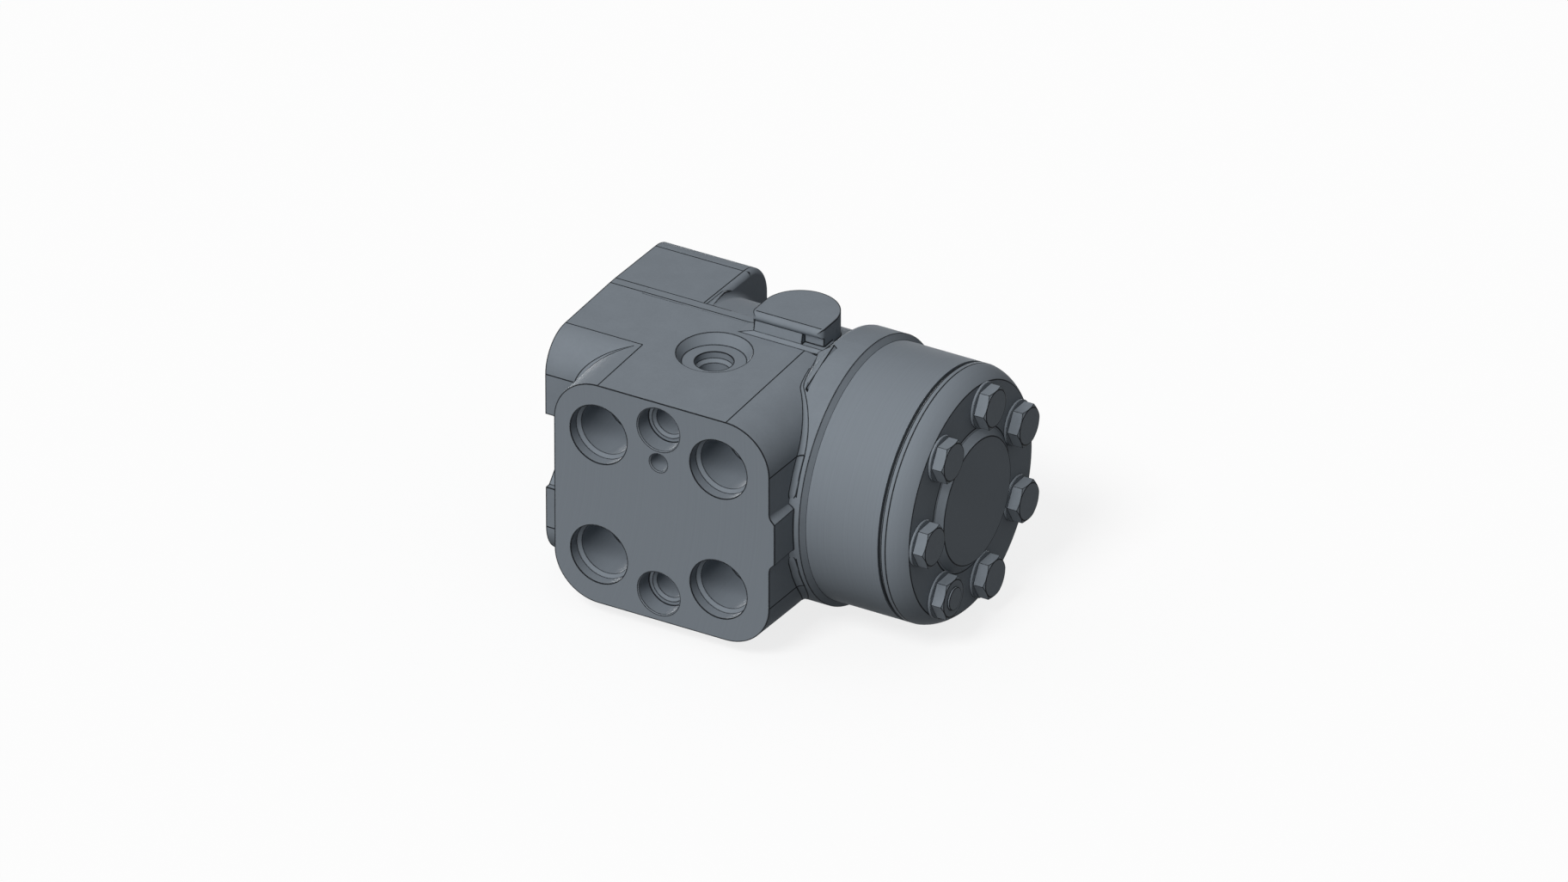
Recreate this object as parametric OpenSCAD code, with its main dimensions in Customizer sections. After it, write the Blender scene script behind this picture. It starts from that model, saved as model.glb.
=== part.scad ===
// Hydrostatic steering valve: rotary spool and sleeve in a cast housing, with an orbiting gear
// set behind it. X runs along the shaft from the column mounting face to the end cover, the port
// face looks along -Y and Z is up. The origin is on the shaft axis in the mounting face.

/* [Port block] */
// Distance from the shaft axis to the port face
port_face_y = 58.1; // [54:0.1:66]
// Where the port block starts behind the mounting face
block_front_x = 12.9; // [11:0.1:15]
// Length of the port face along the shaft
block_len = 80.9; // [76:0.1:84]
// Half the height of the port face
block_half_h = 40.9; // [39:0.1:44]
// Radius of the port face's corners
block_corner_r = 16.4; // [10:0.1:18]
// Casting draft of the block's sides
draft_deg = 1.7; // [0.5:0.1:3]
// How far the raised pad on the block's rear side stands out
side_pad_h = 2; // [1:0.1:3]
// Half the height of that pad
side_pad_half = 7.5; // [5:0.1:12]

/* [Ports] */
// Distance between two main ports, along and across the shaft
port_pitch = 45.06; // [43:0.01:50]
// Distance from the mounting face to the middle of the ports
port_mid_x = 52.2; // [50:0.1:56]
// Wall radius of a main port's threaded bore
port_r = 9.4; // [7:0.05:10.5]
// Radius of a main port's smooth mouth
port_mouth_r = 10.65; // [10.6:0.05:12.5]
// Depth of that mouth
port_mouth_depth = 3.8; // [2:0.1:5]
// Full depth of a main port
port_depth = 22; // [18:0.5:23]
// Radius of the oil drillings inside the housing
gallery_r = 4.2; // [3:0.1:5]
// Distance between the two valve pockets on the port face
pocket_pitch = 61.5; // [58:0.1:64]
// Radius of a valve pocket's wide mouth
pocket_mouth_r = 7.7; // [6.5:0.1:8.5]
// Depth of that mouth
pocket_mouth_depth = 6.8; // [4:0.1:8]
// Wall radius of a valve pocket's threaded bore
pocket_r = 5.2; // [4:0.05:6]
// Full depth of a valve pocket
pocket_depth = 22; // [18:0.5:26]
// Height of the pilot hole above the shaft axis
pilot_z = 18.4; // [16:0.1:20]
// Radius of the pilot hole
pilot_r = 3.1; // [2:0.1:3.4]
// Distance from the shaft axis plane to the sensing port on top
sensing_y = 22; // [18:0.1:26]
// Wall radius of the sensing port's threaded bore
sensing_r = 5.2; // [4:0.05:6]
// Radius of the spot face round the sensing port
sensing_face_r = 12.7; // [11:0.1:14]

/* [Column flange] */
// How far the flange reaches towards the port side
flange_front_y = 41.8; // [40:0.1:44]
// How far the flange reaches away from the port side
flange_back_y = 42.5; // [40:0.1:44]
// Radius of the flange's corners on the port side
flange_corner_r = 13; // [10:0.1:15]
// Radius of the flange's corners on the far side
flange_back_r = 13; // [9:0.1:15]
// Length of the two ears behind the flange
ear_len = 35.7; // [30:0.1:40]
// Rounding of the ears' rear edges
ear_edge_r = 2.2; // [1:0.1:3.5]
// Half the gap between two ears
ear_gap_half = 13.8; // [10:0.1:18]
// Distance between two column screws
column_pitch = 58.34; // [56:0.01:60]
// Wall radius of a column screw's hole
column_hole_r = 4.25; // [3.5:0.05:5]
// Depth of a column screw's hole
column_hole_depth = 18; // [16:0.5:20]
// Radius of the bore that centres the steering column
pilot_bore_r = 20; // [19:0.05:22]
// Depth of that bore
pilot_bore_depth = 2.5; // [2:0.1:4]

/* [Casting] */
// Radius of the casting round the spool
body_r = 42.5; // [41.5:0.1:43]
// Radius of the rim that carries the gear set
rim_r = 46.2; // [45.2:0.1:48]
// Length of the rim behind the port block
rim_len = 5.7; // [5:0.1:10]
// Full width of the rim
rim_w = 12.3; // [11:0.1:15]
// Length over which the casting swells up to the rim
rim_blend = 4.5; // [3:0.1:9]
// Fillets of the casting
fillet_r = 2; // [1:0.1:3]
// Radius of the round end of the pad on top
top_pad_r = 13.3; // [10:0.1:15]
// Height of that pad's face above the shaft axis
top_pad_z = 50.1; // [47:0.1:52]
// Distance from the mounting face to the middle of that pad
top_pad_x = 69.7; // [67:0.1:72]
// How far the centre of its round end lies behind the shaft axis
top_pad_y = 3.8; // [3:0.1:6]
// Distance from that centre to the pad's straight front
top_pad_front = 9.1; // [8:0.1:11]

/* [Spool set] */
// Radius of the housing bore that the sleeve turns in
bore_r = 19; // [18:0.05:20]
// Radius of the spool
spool_r = 14; // [13.5:0.05:15]
// Radius of the spool's neck in the seals
neck_r = 12; // [11.6:0.05:12.5]
// Pitch radius of the input spline
spline_pitch_r = 9.525; // [9:0.005:10]
// Depth of the input spline from the spool's front end
spline_depth = 17; // [14:0.5:20]
// How far the spool's front end lies behind the mounting face
spool_inset = 4.5; // [3:0.1:7]
// Radius of the spool's inner bore
spool_bore_r = 10; // [9.8:0.05:10.5]
// Radius of the cross pin
cross_pin_r = 4; // [3:0.05:4.5]
// Distance from the mounting face to the cross pin
cross_pin_x = 60; // [56:0.5:64]
// Greatest angle between the spool and the sleeve
lead_deg = 8; // [4:0.5:9]
// Thickness of one leaf spring
leaf_t = 0.6; // [0.4:0.05:0.7]
// Width of the leaf springs
leaf_w = 6; // [4:0.1:7]
// Radial running gap of the spool and of the sleeve
run_gap = 0.05; // [0.02:0.01:0.1]

/* [Gear set] */
// Outer radius of the distributor plate, gear ring and end cover
set_r = 44.07; // [43.8:0.01:45]
// Thickness of the distributor plate
plate_t = 13.7; // [11:0.1:16]
// Thickness of the gear ring and rotor
ring_t = 13; // [11:0.1:16]
// Radius of the circle that the ring's lobes lie on
lobe_circle_r = 31.5; // [31:0.1:32.5]
// Radius of one lobe
lobe_r = 8; // [7.6:0.05:8.4]
// Distance between the rotor's centre and the shaft axis
orbit_r = 3; // [2.6:0.05:3.2]
// Gap between the rotor and the lobes
mesh_gap = 0.06; // [0.04:0.01:0.12]
// Radius of the cardan shaft's shank
cardan_r = 6.5; // [5.5:0.1:6.8]

/* [Cover and screws] */
// Thickness of the end cover at its flat face
cover_t = 9.8; // [8:0.1:12]
// Radius of the cover's flat face
cover_face_r = 40.3; // [40:0.1:41.5]
// Radius of the raised centre of the cover
cover_boss_r = 21.9; // [15:0.1:23]
// Height of the raised centre
cover_boss_h = 2.5; // [1:0.1:4]
// Radius of the circle that the cover screws lie on
screw_circle_r = 32.72; // [32.5:0.01:33.2]
// Radius of a cover screw's shank
screw_r = 4; // [3.5:0.05:4.1]
// Width across flats of a cover screw's head
screw_af = 13; // [12:0.1:13.5]
// Height of a cover screw's head
screw_head_h = 4.2; // [3.5:0.1:6]
// Length of a cover screw under its head
screw_len = 57; // [52:0.5:59]
// Thickness of a washer
washer_t = 1.1; // [0.8:0.1:2]
// Outer radius of a washer
washer_r = 7.95; // [7:0.05:8.2]
// Radius of the seal rings' section
o_ring_r = 0.85; // [0.6:0.05:1]

/* [Valve balls] */
// Radius of the check ball in the pressure port
check_ball_r = 4.25; // [3.5:0.05:4.5]
// Radius of a suction ball
suction_ball_r = 3; // [2.5:0.05:3.2]

/* [Hidden] */
// Smoothness of the round shapes
$fn = 96;
// Number of ring lobes, and of cover screws
lobes = 7;
// Teeth of the input spline and of the rotor spline
spline_teeth = 12;
// Small gap between pieces that only lie against each other
lay_gap = 0.05;
// Radial gap of a screw in a clearance hole
hole_gap = 0.3;
// Step between two cast faces that run on from each other
skin_step = 0.05;
// How far a cut runs past the face it starts from
past = 1;

draft = tan(draft_deg);
block_back_x = block_front_x + block_len;
block_mid_half = block_half_h + draft * port_face_y;
housing_len = block_back_x + rim_len;
// Width of the strip of the parting line
parting_w = 3.5;

plate_x = housing_len;
ring_x = plate_x + plate_t;
cover_x = ring_x + ring_t;
cover_face_x = cover_x + cover_t;
head_x = cover_face_x + washer_t;
rotor_mid_x = ring_x + ring_t / 2;

seal_pocket_r = 17;
dust_seal_t = 5.5;
land_w = 3;
seal_pocket_x = pilot_bore_depth + dust_seal_t + lay_gap + land_w;
shaft_seal_t = 6;
chamber_x = seal_pocket_x + shaft_seal_t;
race_t = 1.2;
needle_r = 1;
race_r = bore_r - 0.4;
needle_count = 18;
needle_x = chamber_x + 2 * lay_gap + race_t + needle_r;
needle_in = neck_r + 2;
needle_len = race_r - needle_in - 0.9;
set_x = chamber_x + 2 * race_t + 2 * needle_r + 4 * lay_gap;
sleeve_r = bore_r - run_gap;
sleeve_bore_r = spool_r + run_gap;
sleeve_end_x = housing_len - 0.3;
sleeve_grooves = [for (g = [[-18, 4], [8, 4], [18, 5]])
    [cross_pin_x + g[0], cross_pin_x + g[0] + g[1]]];
commutator_x = sleeve_end_x - 8.2;
pocket_len = 8;

spring_x = set_x + 8;
spring_half = sleeve_r - 1.55;
spring_stack = 2 * leaf_t + lay_gap + 1.2;
ring_w = leaf_w + 3;
ring_groove_r = sleeve_r - 1.35;

spline_root_r = spline_pitch_r + 0.85;
spline_tip_r = spline_pitch_r - 0.75;

screw_hole_r = screw_r + hole_gap;
screw_end_x = head_x - screw_len;
special_screw = 1;
plain_suction_screw = 6;
suction_hole_r = suction_ball_r + 0.3;
suction_pin_r = 2.4;
suction_depth = 17;
suction_seat_x = screw_end_x - suction_depth;
suction_ball_x = suction_seat_x + 5;
suction_pin_x = suction_ball_x + suction_ball_r + 1.5;

cardan_len = rotor_mid_x - cross_pin_x;
cardan_tilt = atan(orbit_r / cardan_len);
drive_tip_r = 10.3;
drive_root_r = 8.6;
drive_gap = 0.35;
spacer_t = 1.8;

check_bushing_t = 2.4;
check_lift = 2;
check_ball_gap = 0.3;
check_chamber_r = check_ball_r + 0.6;
check_opening_r = 2.2;
check_chamber = check_bushing_t + 2 * check_ball_gap + 2 * check_ball_r + check_lift;

o_ring_circle_r = 40.4;
oil_circle_r = 26.5;
oil_hole_r = 2.4;
oil_hole_depth = 22;
pilot_passage_r = 2;
o_groove_d = 2 * o_ring_r + lay_gap;

port_x = [port_mid_x - port_pitch / 2, port_mid_x + port_pitch / 2];
port_z = [port_pitch / 2, -port_pitch / 2];
check_port_x = port_x[0];
check_port_z = port_z[0];

// Angles of the cover screws and lobes, from +Y towards +Z
function screw_angle(i) = 180 + i * 360 / lobes;

// A solid of revolution about the shaft axis from points [x, radius]
module turned(points) {
    rotate([0, 90, 0]) rotate([0, 0, 180]) rotate_extrude()
        polygon([for (p = points) [p[1], p[0]]]);
}

// A flat outline drawn in (y, z), extruded along the shaft from x0 over length len
module along_x(x0, len) {
    translate([x0, 0, 0]) rotate([90, 0, 90]) linear_extrude(len) children();
}

// A round bar along the shaft
module bar_x(x0, len, r) {
    translate([x0, 0, 0]) rotate([0, 90, 0]) cylinder(h = len, r = r);
}

// Moves its children to screw position i of the pitch circle
module at_screw(i, r = screw_circle_r) {
    translate([0, r * cos(screw_angle(i)), r * sin(screw_angle(i))]) children();
}

// A round cut that goes into the port face, with a mouth and a chamfer, from points [depth, radius]
module face_cut(x, z, points) {
    last = points[len(points) - 1];
    translate([x, -port_face_y, z]) rotate([-90, 0, 0]) rotate_extrude()
        polygon(concat([[0, -past], [points[0][1], -past]], [for (p = points) [p[1], p[0]]],
            [[0, last[0] + last[1] * 0.5]]));
}

// A round passage between two points
module passage(a, b, r) {
    d = b - a;
    flat = norm([d[0], d[1]]);
    translate(a) rotate([0, atan2(flat, d[2]), atan2(d[1], d[0])]) cylinder(h = norm(d), r = r);
}

// The cast port block: drafted sides that open towards the parting plane, with conical corners
module port_block() {
    in_x = [block_front_x + block_corner_r, block_back_x - block_corner_r];
    in_z = block_half_h - block_corner_r;
    grow = draft * port_face_y;
    along_x(in_x[0], in_x[1] - in_x[0]) polygon([[-port_face_y, -block_half_h],
        [0, -block_mid_half], [0, block_mid_half], [-port_face_y, block_half_h]]);
    translate([0, 0, -in_z]) linear_extrude(2 * in_z) polygon([[block_front_x, -port_face_y],
        [block_front_x - grow, 0], [block_back_x + grow, 0], [block_back_x, -port_face_y]]);
    for (corner = [[1, in_z, 0], [0, in_z, 90], [0, -in_z, 180], [1, -in_z, 270]])
        translate([in_x[corner[0]], 0, corner[1]]) rotate([90, 0, 0]) rotate([0, 0, corner[2]])
            rotate_extrude(angle = 90) polygon([[0, 0], [block_corner_r + grow, 0],
                [block_corner_r, port_face_y], [0, port_face_y]]);
}

// The flat strip of the block's parting line, and the fall from there to the round body
module parting_strip() {
    lower = sqrt(pow(body_r, 2) - pow(parting_w + 2, 2)) - 0.4;
    for (side = [1, -1])
        along_x(block_front_x, block_back_x - block_corner_r - block_front_x)
            polygon([[-past, side * lower], [-past, side * block_mid_half],
                [0, side * block_mid_half], [parting_w, side * block_mid_half],
                [parting_w + 2, side * lower]]);
}

// The raised pad on the block's rear side: its edges slope down and end in a hollow root
module side_pad() {
    root_r = 3.4;
    steps = 5;
    slope = side_pad_h - root_r * (1 - cos(45));
    root_z = side_pad_half + slope + root_r * sin(45);
    edge = concat([[side_pad_h, side_pad_half]], [for (i = [steps:-1:0]) let (a = 45 * i / steps)
        [root_r * (1 - cos(a)), root_z - root_r * sin(a)]], [[-past, root_z]]);
    translate([block_back_x, 0, 0]) rotate([90, 0, 0]) linear_extrude(port_face_y)
        for (side = [0, 1]) mirror([0, side]) polygon(concat([[-past, 0], [side_pad_h, 0]], edge));
}

// Height of the casting's top at y: it falls with the draft on both sides of the parting strip
function top_at(y) = block_mid_half - draft * (y < 0 ? -y : max(0, y - parting_w));

// Centre of a flange corner of radius r in (y, z), below the casting's top
function corner_at(y, r) = [y, top_at(y) - skin_step - r / cos(draft_deg)];

// Outline of the column flange in (y, z), its top and bottom in the planes of the block's
module flange_outline() {
    peak = block_mid_half - skin_step;
    c = [corner_at(flange_corner_r - flange_front_y, flange_corner_r),
        corner_at(flange_back_y - flange_back_r, flange_back_r)];
    front_t = c[0] + flange_corner_r * [-sin(draft_deg), cos(draft_deg)];
    back_t = c[1] + flange_back_r * [sin(draft_deg), cos(draft_deg)];
    for (side = [0, 1]) mirror([0, side]) {
        polygon([[-flange_front_y, 0], [-flange_front_y, c[0][1]], c[0], front_t,
            [0, peak], [parting_w, peak], back_t, c[1],
            [flange_back_y, c[1][1]], [flange_back_y, 0]]);
        translate(c[0]) circle(flange_corner_r);
        translate(c[1]) circle(flange_back_r);
    }
}

// What the rounding of a rear edge takes away, drawn in (x, height above the face)
module edge_waste() {
    low = skin_step - ear_edge_r;
    translate([ear_len + low, low]) difference() {
        square([ear_edge_r + fillet_r + past, ear_edge_r + past]);
        circle(ear_edge_r);
    }
}

// Moves its children to the centres of the flange's two far corners
module at_far_corners() {
    c = corner_at(flange_back_y - flange_back_r, flange_back_r);
    for (side = [0, 1]) mirror([0, 0, side]) translate([0, c[0], c[1]]) children();
}

// The flange with its ears: hollow fillets at the round body, and rounded rear edges
module column_flange() {
    difference() {
        difference() {
            along_x(0, ear_len) flange_outline();
            at_far_corners() rotate([-draft_deg, 0, 0]) translate([0, 0, flange_back_r])
                rotate([90, 0, 0]) linear_extrude(flange_back_y - flange_back_r) edge_waste();
        }
        at_far_corners() rotate([90, 0, 90]) rotate_extrude(angle = 90 - draft_deg)
            translate([flange_back_r, 0]) mirror([1, -1]) edge_waste();
        translate([0, flange_back_y, -port_face_y]) linear_extrude(2 * port_face_y) edge_waste();
    }
    intersection() {
        ring_fillet(ear_len, body_r, fillet_r);
        along_x(ear_len - past, fillet_r + 2 * past) flange_outline();
    }
}

// The gap between the ears of one side of the flange
module ear_gap(side) {
    floor_y = 34.5;
    floor_half = 8;
    wall = flange_front_y - 2;
    along_x(-past, block_front_x + past) polygon([[side * floor_y, -floor_half],
        [side * wall, -ear_gap_half], [side * (body_r + past), -ear_gap_half],
        [side * (body_r + past), ear_gap_half], [side * wall, ear_gap_half],
        [side * floor_y, floor_half]]);
}

// A concave fillet between a face across the shaft at x and a round body of radius r
module ring_fillet(x, r, size) {
    steps = 6;
    turned(concat([[x - past, r - past], [x - past, r + size]],
        [for (i = [0:steps]) [x + size * (1 - cos(i * 90 / steps)),
            r + size * (1 - sin(i * 90 / steps))]], [[x + size, r - past]]));
}

// The round body with the rim that carries the gear set
module round_body() {
    rim_x = housing_len - rim_w;
    blend_x = rim_x - rim_blend;
    edge = 1.5;
    steps = 8;
    turned(concat([[0.5, 0], [0.5, body_r]],
        [for (i = [0:steps]) [blend_x + (rim_x - blend_x) * i / steps,
            body_r + (rim_r - body_r) * (1 - cos(i * 180 / steps)) / 2]],
        [[housing_len - edge, rim_r], [housing_len, set_r + 0.03], [housing_len, 0]]));
}

// Outline of the pad on top, a half circle with a straight front and two small corners
module pad_outline() {
    corner = 2.2;
    circle(top_pad_r);
    translate([-top_pad_r, -top_pad_front + corner])
        square([2 * top_pad_r, top_pad_front - corner]);
    translate([-top_pad_r + corner, -top_pad_front]) square([2 * (top_pad_r - corner), corner]);
    for (side = [1, -1]) translate([side * (top_pad_r - corner), -top_pad_front + corner])
        circle(corner);
}

// The pad with its round nose, the stem below it, and the foot that joins them to the block
module top_pad() {
    nose_r = 1.7;
    nose_z = top_pad_z - nose_r;
    root_z = body_r - 8;
    front_y = top_pad_y - top_pad_front;
    foot_y = front_y - 0.4;
    foot_w = 1.2;
    foot_x = top_pad_x - top_pad_r - 4;
    foot_end_x = top_pad_x + top_pad_r + 1;
    foot_ramp = 5;
    foot_low = top_at(foot_y - foot_w);
    ledge_z = foot_low + foot_w;
    stem_x = top_pad_x - top_pad_r + 1.1;
    stem_end_x = top_pad_x + 6;
    stem_in = 0.8;
    intersection() {
        translate([top_pad_x, top_pad_y, root_z]) linear_extrude(top_pad_z - root_z)
            pad_outline();
        along_x(top_pad_x - top_pad_r - past, 2 * (top_pad_r + past)) {
            translate([front_y + nose_r, root_z - past])
                square([2 * top_pad_r + past, top_pad_z - root_z + 2 * past]);
            translate([front_y + nose_r, nose_z]) circle(nose_r);
        }
    }
    along_x(stem_x, stem_end_x - stem_x) polygon([[top_pad_y, root_z],
        [foot_y + skin_step, root_z], [foot_y + skin_step, ledge_z], [front_y + stem_in, nose_z],
        [top_pad_y, nose_z]]);
    intersection() {
        along_x(foot_x, foot_end_x - foot_x) polygon([[parting_w / 2, root_z],
            [foot_y - foot_w, root_z], [foot_y - foot_w, foot_low], [foot_y, ledge_z],
            [parting_w / 2, ledge_z]]);
        translate([0, parting_w, 0]) rotate([90, 0, 0]) linear_extrude(parting_w - foot_y
            + foot_w + past) polygon([[foot_x - past, root_z - past], [foot_end_x + past, root_z
                - past], [foot_end_x + past, ledge_z + foot_w], [foot_x + foot_ramp, ledge_z
                + skin_step], [foot_x, foot_low + skin_step], [foot_x - past, foot_low]]);
    }
}

// Everything cut out of the casting for the spool set and its seals
module shaft_bores() {
    bar_x(-past, pilot_bore_depth + past, pilot_bore_r);
    bar_x(pilot_bore_depth - past, dust_seal_t + lay_gap + past, seal_pocket_r);
    bar_x(0, housing_len, neck_r + 0.5);
    bar_x(seal_pocket_x, shaft_seal_t + past, seal_pocket_r - 0.5);
    bar_x(chamber_x, housing_len - chamber_x + past, bore_r);
}

// The ports, pockets and pilot hole in the port face
module port_cuts() {
    step = port_mouth_r - port_r;
    for (x = port_x, z = port_z) {
        face_cut(x, z, [[port_mouth_depth, port_mouth_r], [port_mouth_depth + step, port_r],
            [port_depth, port_r]]);
        passage([x, -port_face_y + port_depth, z], [x, -bore_r * 0.6, z * 0.4], gallery_r);
    }
    for (side = [1, -1]) {
        thread_depth = pocket_mouth_depth + 1.1;
        face_cut(port_mid_x, side * pocket_pitch / 2, [[0, pocket_mouth_r + 0.4],
            [0.4, pocket_mouth_r], [pocket_mouth_depth, pocket_mouth_r],
            [pocket_mouth_depth, pocket_r + 1.1], [thread_depth, pocket_r],
            [pocket_depth, pocket_r]]);
    }
    face_cut(port_mid_x, pilot_z, [[0, pilot_r + 0.4], [0.4, pilot_r], [9, pilot_r]]);
    passage([port_mid_x, -port_face_y + 8, pilot_z], [port_mid_x, -bore_r * 0.6, 8],
        pilot_passage_r);
}

// The sensing port on top, spot faced into the drafted side
module sensing_cut() {
    top = block_mid_half - draft * sensing_y + 0.5;
    face = top - 3.8;
    translate([port_mid_x, -sensing_y, 0]) rotate_extrude() polygon([[0, face - 15],
        [sensing_r, face - 12], [sensing_r, face - 3.6], [sensing_r + 1.2, face - 2.4],
        [sensing_r + 1.2, face], [sensing_face_r - 2, face], [sensing_face_r + 0.6, top + 0.6],
        [sensing_face_r + 0.6, top + 4], [0, top + 4]]);
    passage([port_mid_x, -sensing_y, face - 12], [port_mid_x, -8, bore_r - 4],
        pilot_passage_r);
}

// Round grooves for the seal rings
module o_groove(x, side) {
    w = o_ring_r + 0.15;
    lo = side > 0 ? x - o_groove_d : x - past;
    hi = side > 0 ? x + past : x + o_groove_d;
    turned([[lo, o_ring_circle_r - w], [lo, o_ring_circle_r + w],
        [hi, o_ring_circle_r + w], [hi, o_ring_circle_r - w]]);
}

module housing() color([0.43, 0.46, 0.49]) {
    difference() {
        union() {
            port_block();
            parting_strip();
            side_pad();
            column_flange();
            round_body();
            top_pad();
            intersection() {
                ring_fillet(block_back_x, rim_r, fillet_r);
                translate([block_back_x - 2 * past, -port_face_y, -block_half_h + block_corner_r])
                    cube([4 * past + fillet_r, port_face_y,
                        2 * (block_half_h - block_corner_r)]);
            }
        }
        for (side = [1, -1]) ear_gap(side);
        shaft_bores();
        port_cuts();
        sensing_cut();
        o_groove(housing_len, 1);
        for (y = [-1, 1], z = [-1, 1])
            translate([0, y * column_pitch / 2, z * column_pitch / 2])
                bar_x(-past, column_hole_depth + past, column_hole_r);
        for (i = [0:lobes - 1]) at_screw(i)
            bar_x(screw_end_x - 1, housing_len - screw_end_x + 1 + past, screw_r + lay_gap);
        for (i = [plain_suction_screw, special_screw]) at_screw(i)
            bar_x(suction_seat_x, screw_end_x - suction_seat_x, suction_hole_r);
        for (i = [0:lobes - 1]) at_screw(i + 0.5, oil_circle_r)
            bar_x(housing_len - oil_hole_depth, oil_hole_depth + past, oil_hole_r);
        translate([check_port_x, -port_face_y + port_depth - past, check_port_z])
            rotate([-90, 0, 0]) cylinder(h = check_chamber + past, r = check_chamber_r);
    }
}

// The dust seal with its lip against the spool's neck
module dust_seal() color([0.12, 0.12, 0.13]) {
    x = pilot_bore_depth + lay_gap;
    in_r = neck_r + 0.1;
    turned([[x, in_r + 2.6], [x + 0.8, in_r + 0.8], [x + 0.2, in_r], [x + 2.4, in_r + 0.4],
        [x + dust_seal_t - lay_gap, in_r + 0.8], [x + dust_seal_t - lay_gap, seal_pocket_r - lay_gap],
        [x, seal_pocket_r - lay_gap]]);
}

// The shaft seal, a grooved ring with its open side to the oil
module shaft_seal() color([0.16, 0.13, 0.12]) {
    x = seal_pocket_x + lay_gap;
    end = chamber_x - lay_gap;
    in_r = neck_r + 0.1;
    out_r = seal_pocket_r - 0.5 - lay_gap;
    mid = (in_r + out_r) / 2;
    turned([[x, in_r + 0.5], [x + 3, in_r + 0.5], [end, in_r], [end, mid - 0.8],
        [end - 2.6, mid - 0.5], [end - 2.6, mid + 0.5], [end, mid + 0.8], [end, out_r], [x, out_r]]);
}

// One flat washer of the thrust bearing, at x
module race(x) {
    turned([[x, neck_r + 1.4], [x + race_t, neck_r + 1.4], [x + race_t, race_r], [x, race_r]]);
}

module bearing_outer_race() color([0.7, 0.71, 0.72]) race(chamber_x + lay_gap);

module bearing_inner_race() color([0.7, 0.71, 0.72]) race(set_x - race_t - lay_gap);

// The flat cage between the races, with one slot for each needle
module bearing_cage() color([0.72, 0.58, 0.3]) {
    half = needle_r - 0.3;
    difference() {
        turned([[needle_x - half, neck_r + 1.5], [needle_x + half, neck_r + 1.5],
            [needle_x + half, race_r - 0.2], [needle_x - half, race_r - 0.2]]);
        for (i = [0:needle_count - 1]) rotate([i * 360 / needle_count, 0, 0])
            translate([needle_x - needle_r, -needle_r - lay_gap, needle_in - lay_gap])
                cube([2 * needle_r, 2 * (needle_r + lay_gap), needle_len + 2 * lay_gap]);
    }
}

module bearing_needles() color([0.8, 0.8, 0.82]) {
    for (i = [0:needle_count - 1]) rotate([i * 360 / needle_count, 0, 0])
        translate([needle_x, 0, needle_in]) cylinder(h = needle_len, r = needle_r);
}

// One tooth or tooth space of a spline as a flat outline, from radius r0 with half widths
module tooth(r0, half0, r1, half1) {
    polygon([[r0, -half0], [r1, -half1], [r1, half1], [r0, half0]]);
}

// Inside of a splined hole: the minor circle and its tooth spaces
module splined_hole(minor_r, major_r, half_in, half_out) {
    circle(minor_r);
    for (i = [0:spline_teeth - 1]) rotate(i * 360 / spline_teeth)
        tooth(minor_r - 1, half_in, major_r, half_out);
}

module spool() color([0.62, 0.64, 0.66]) {
    hole_r = cross_pin_r + spool_r * sin(lead_deg) + 0.15;
    slot_x = spring_x - leaf_w / 2 - 0.4;
    slot_in = spring_stack + 0.25;
    slot_out = slot_in + (spool_r + past) * sin(lead_deg);
    difference() {
        turned([[spool_inset, 0], [spool_inset, neck_r - 0.6], [spool_inset + 0.6, neck_r],
            [set_x, neck_r], [set_x, spool_r - 0.5], [set_x + 0.5, spool_r],
            [sleeve_end_x - 0.5, spool_r], [sleeve_end_x, spool_r - 0.5], [sleeve_end_x, 0]]);
        along_x(spool_inset - past, spline_depth + past)
            splined_hole(spline_tip_r, spline_root_r, 1.75, 0.95);
        turned([[spool_inset - past, 0], [spool_inset - past, spline_root_r + 0.9],
            [spool_inset, spline_root_r + 0.6], [spool_inset + 1.4, spline_tip_r - 0.6],
            [spool_inset + 1.4, 0]]);
        bar_x(spool_inset, 30, spline_tip_r);
        bar_x(cross_pin_x - 18, sleeve_end_x - cross_pin_x + 18 + past, spool_bore_r);
        translate([cross_pin_x, 0, -spool_r - past]) cylinder(h = 2 * (spool_r + past), r = hole_r);
        along_x(slot_x, leaf_w + 0.8) polygon([[-spool_r - past, -slot_out], [0, -slot_in],
            [spool_r + past, -slot_out], [spool_r + past, slot_out], [0, slot_in],
            [-spool_r - past, slot_out]]);
        for (i = [0:5], x = [commutator_x, commutator_x - 1.5 * pocket_len])
            rotate([i * 60 + 30, 0, 0]) translate([x - pocket_len / 2, -1.6, spool_r - 1.4])
                cube([pocket_len, 3.2, 3]);
    }
}

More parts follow.
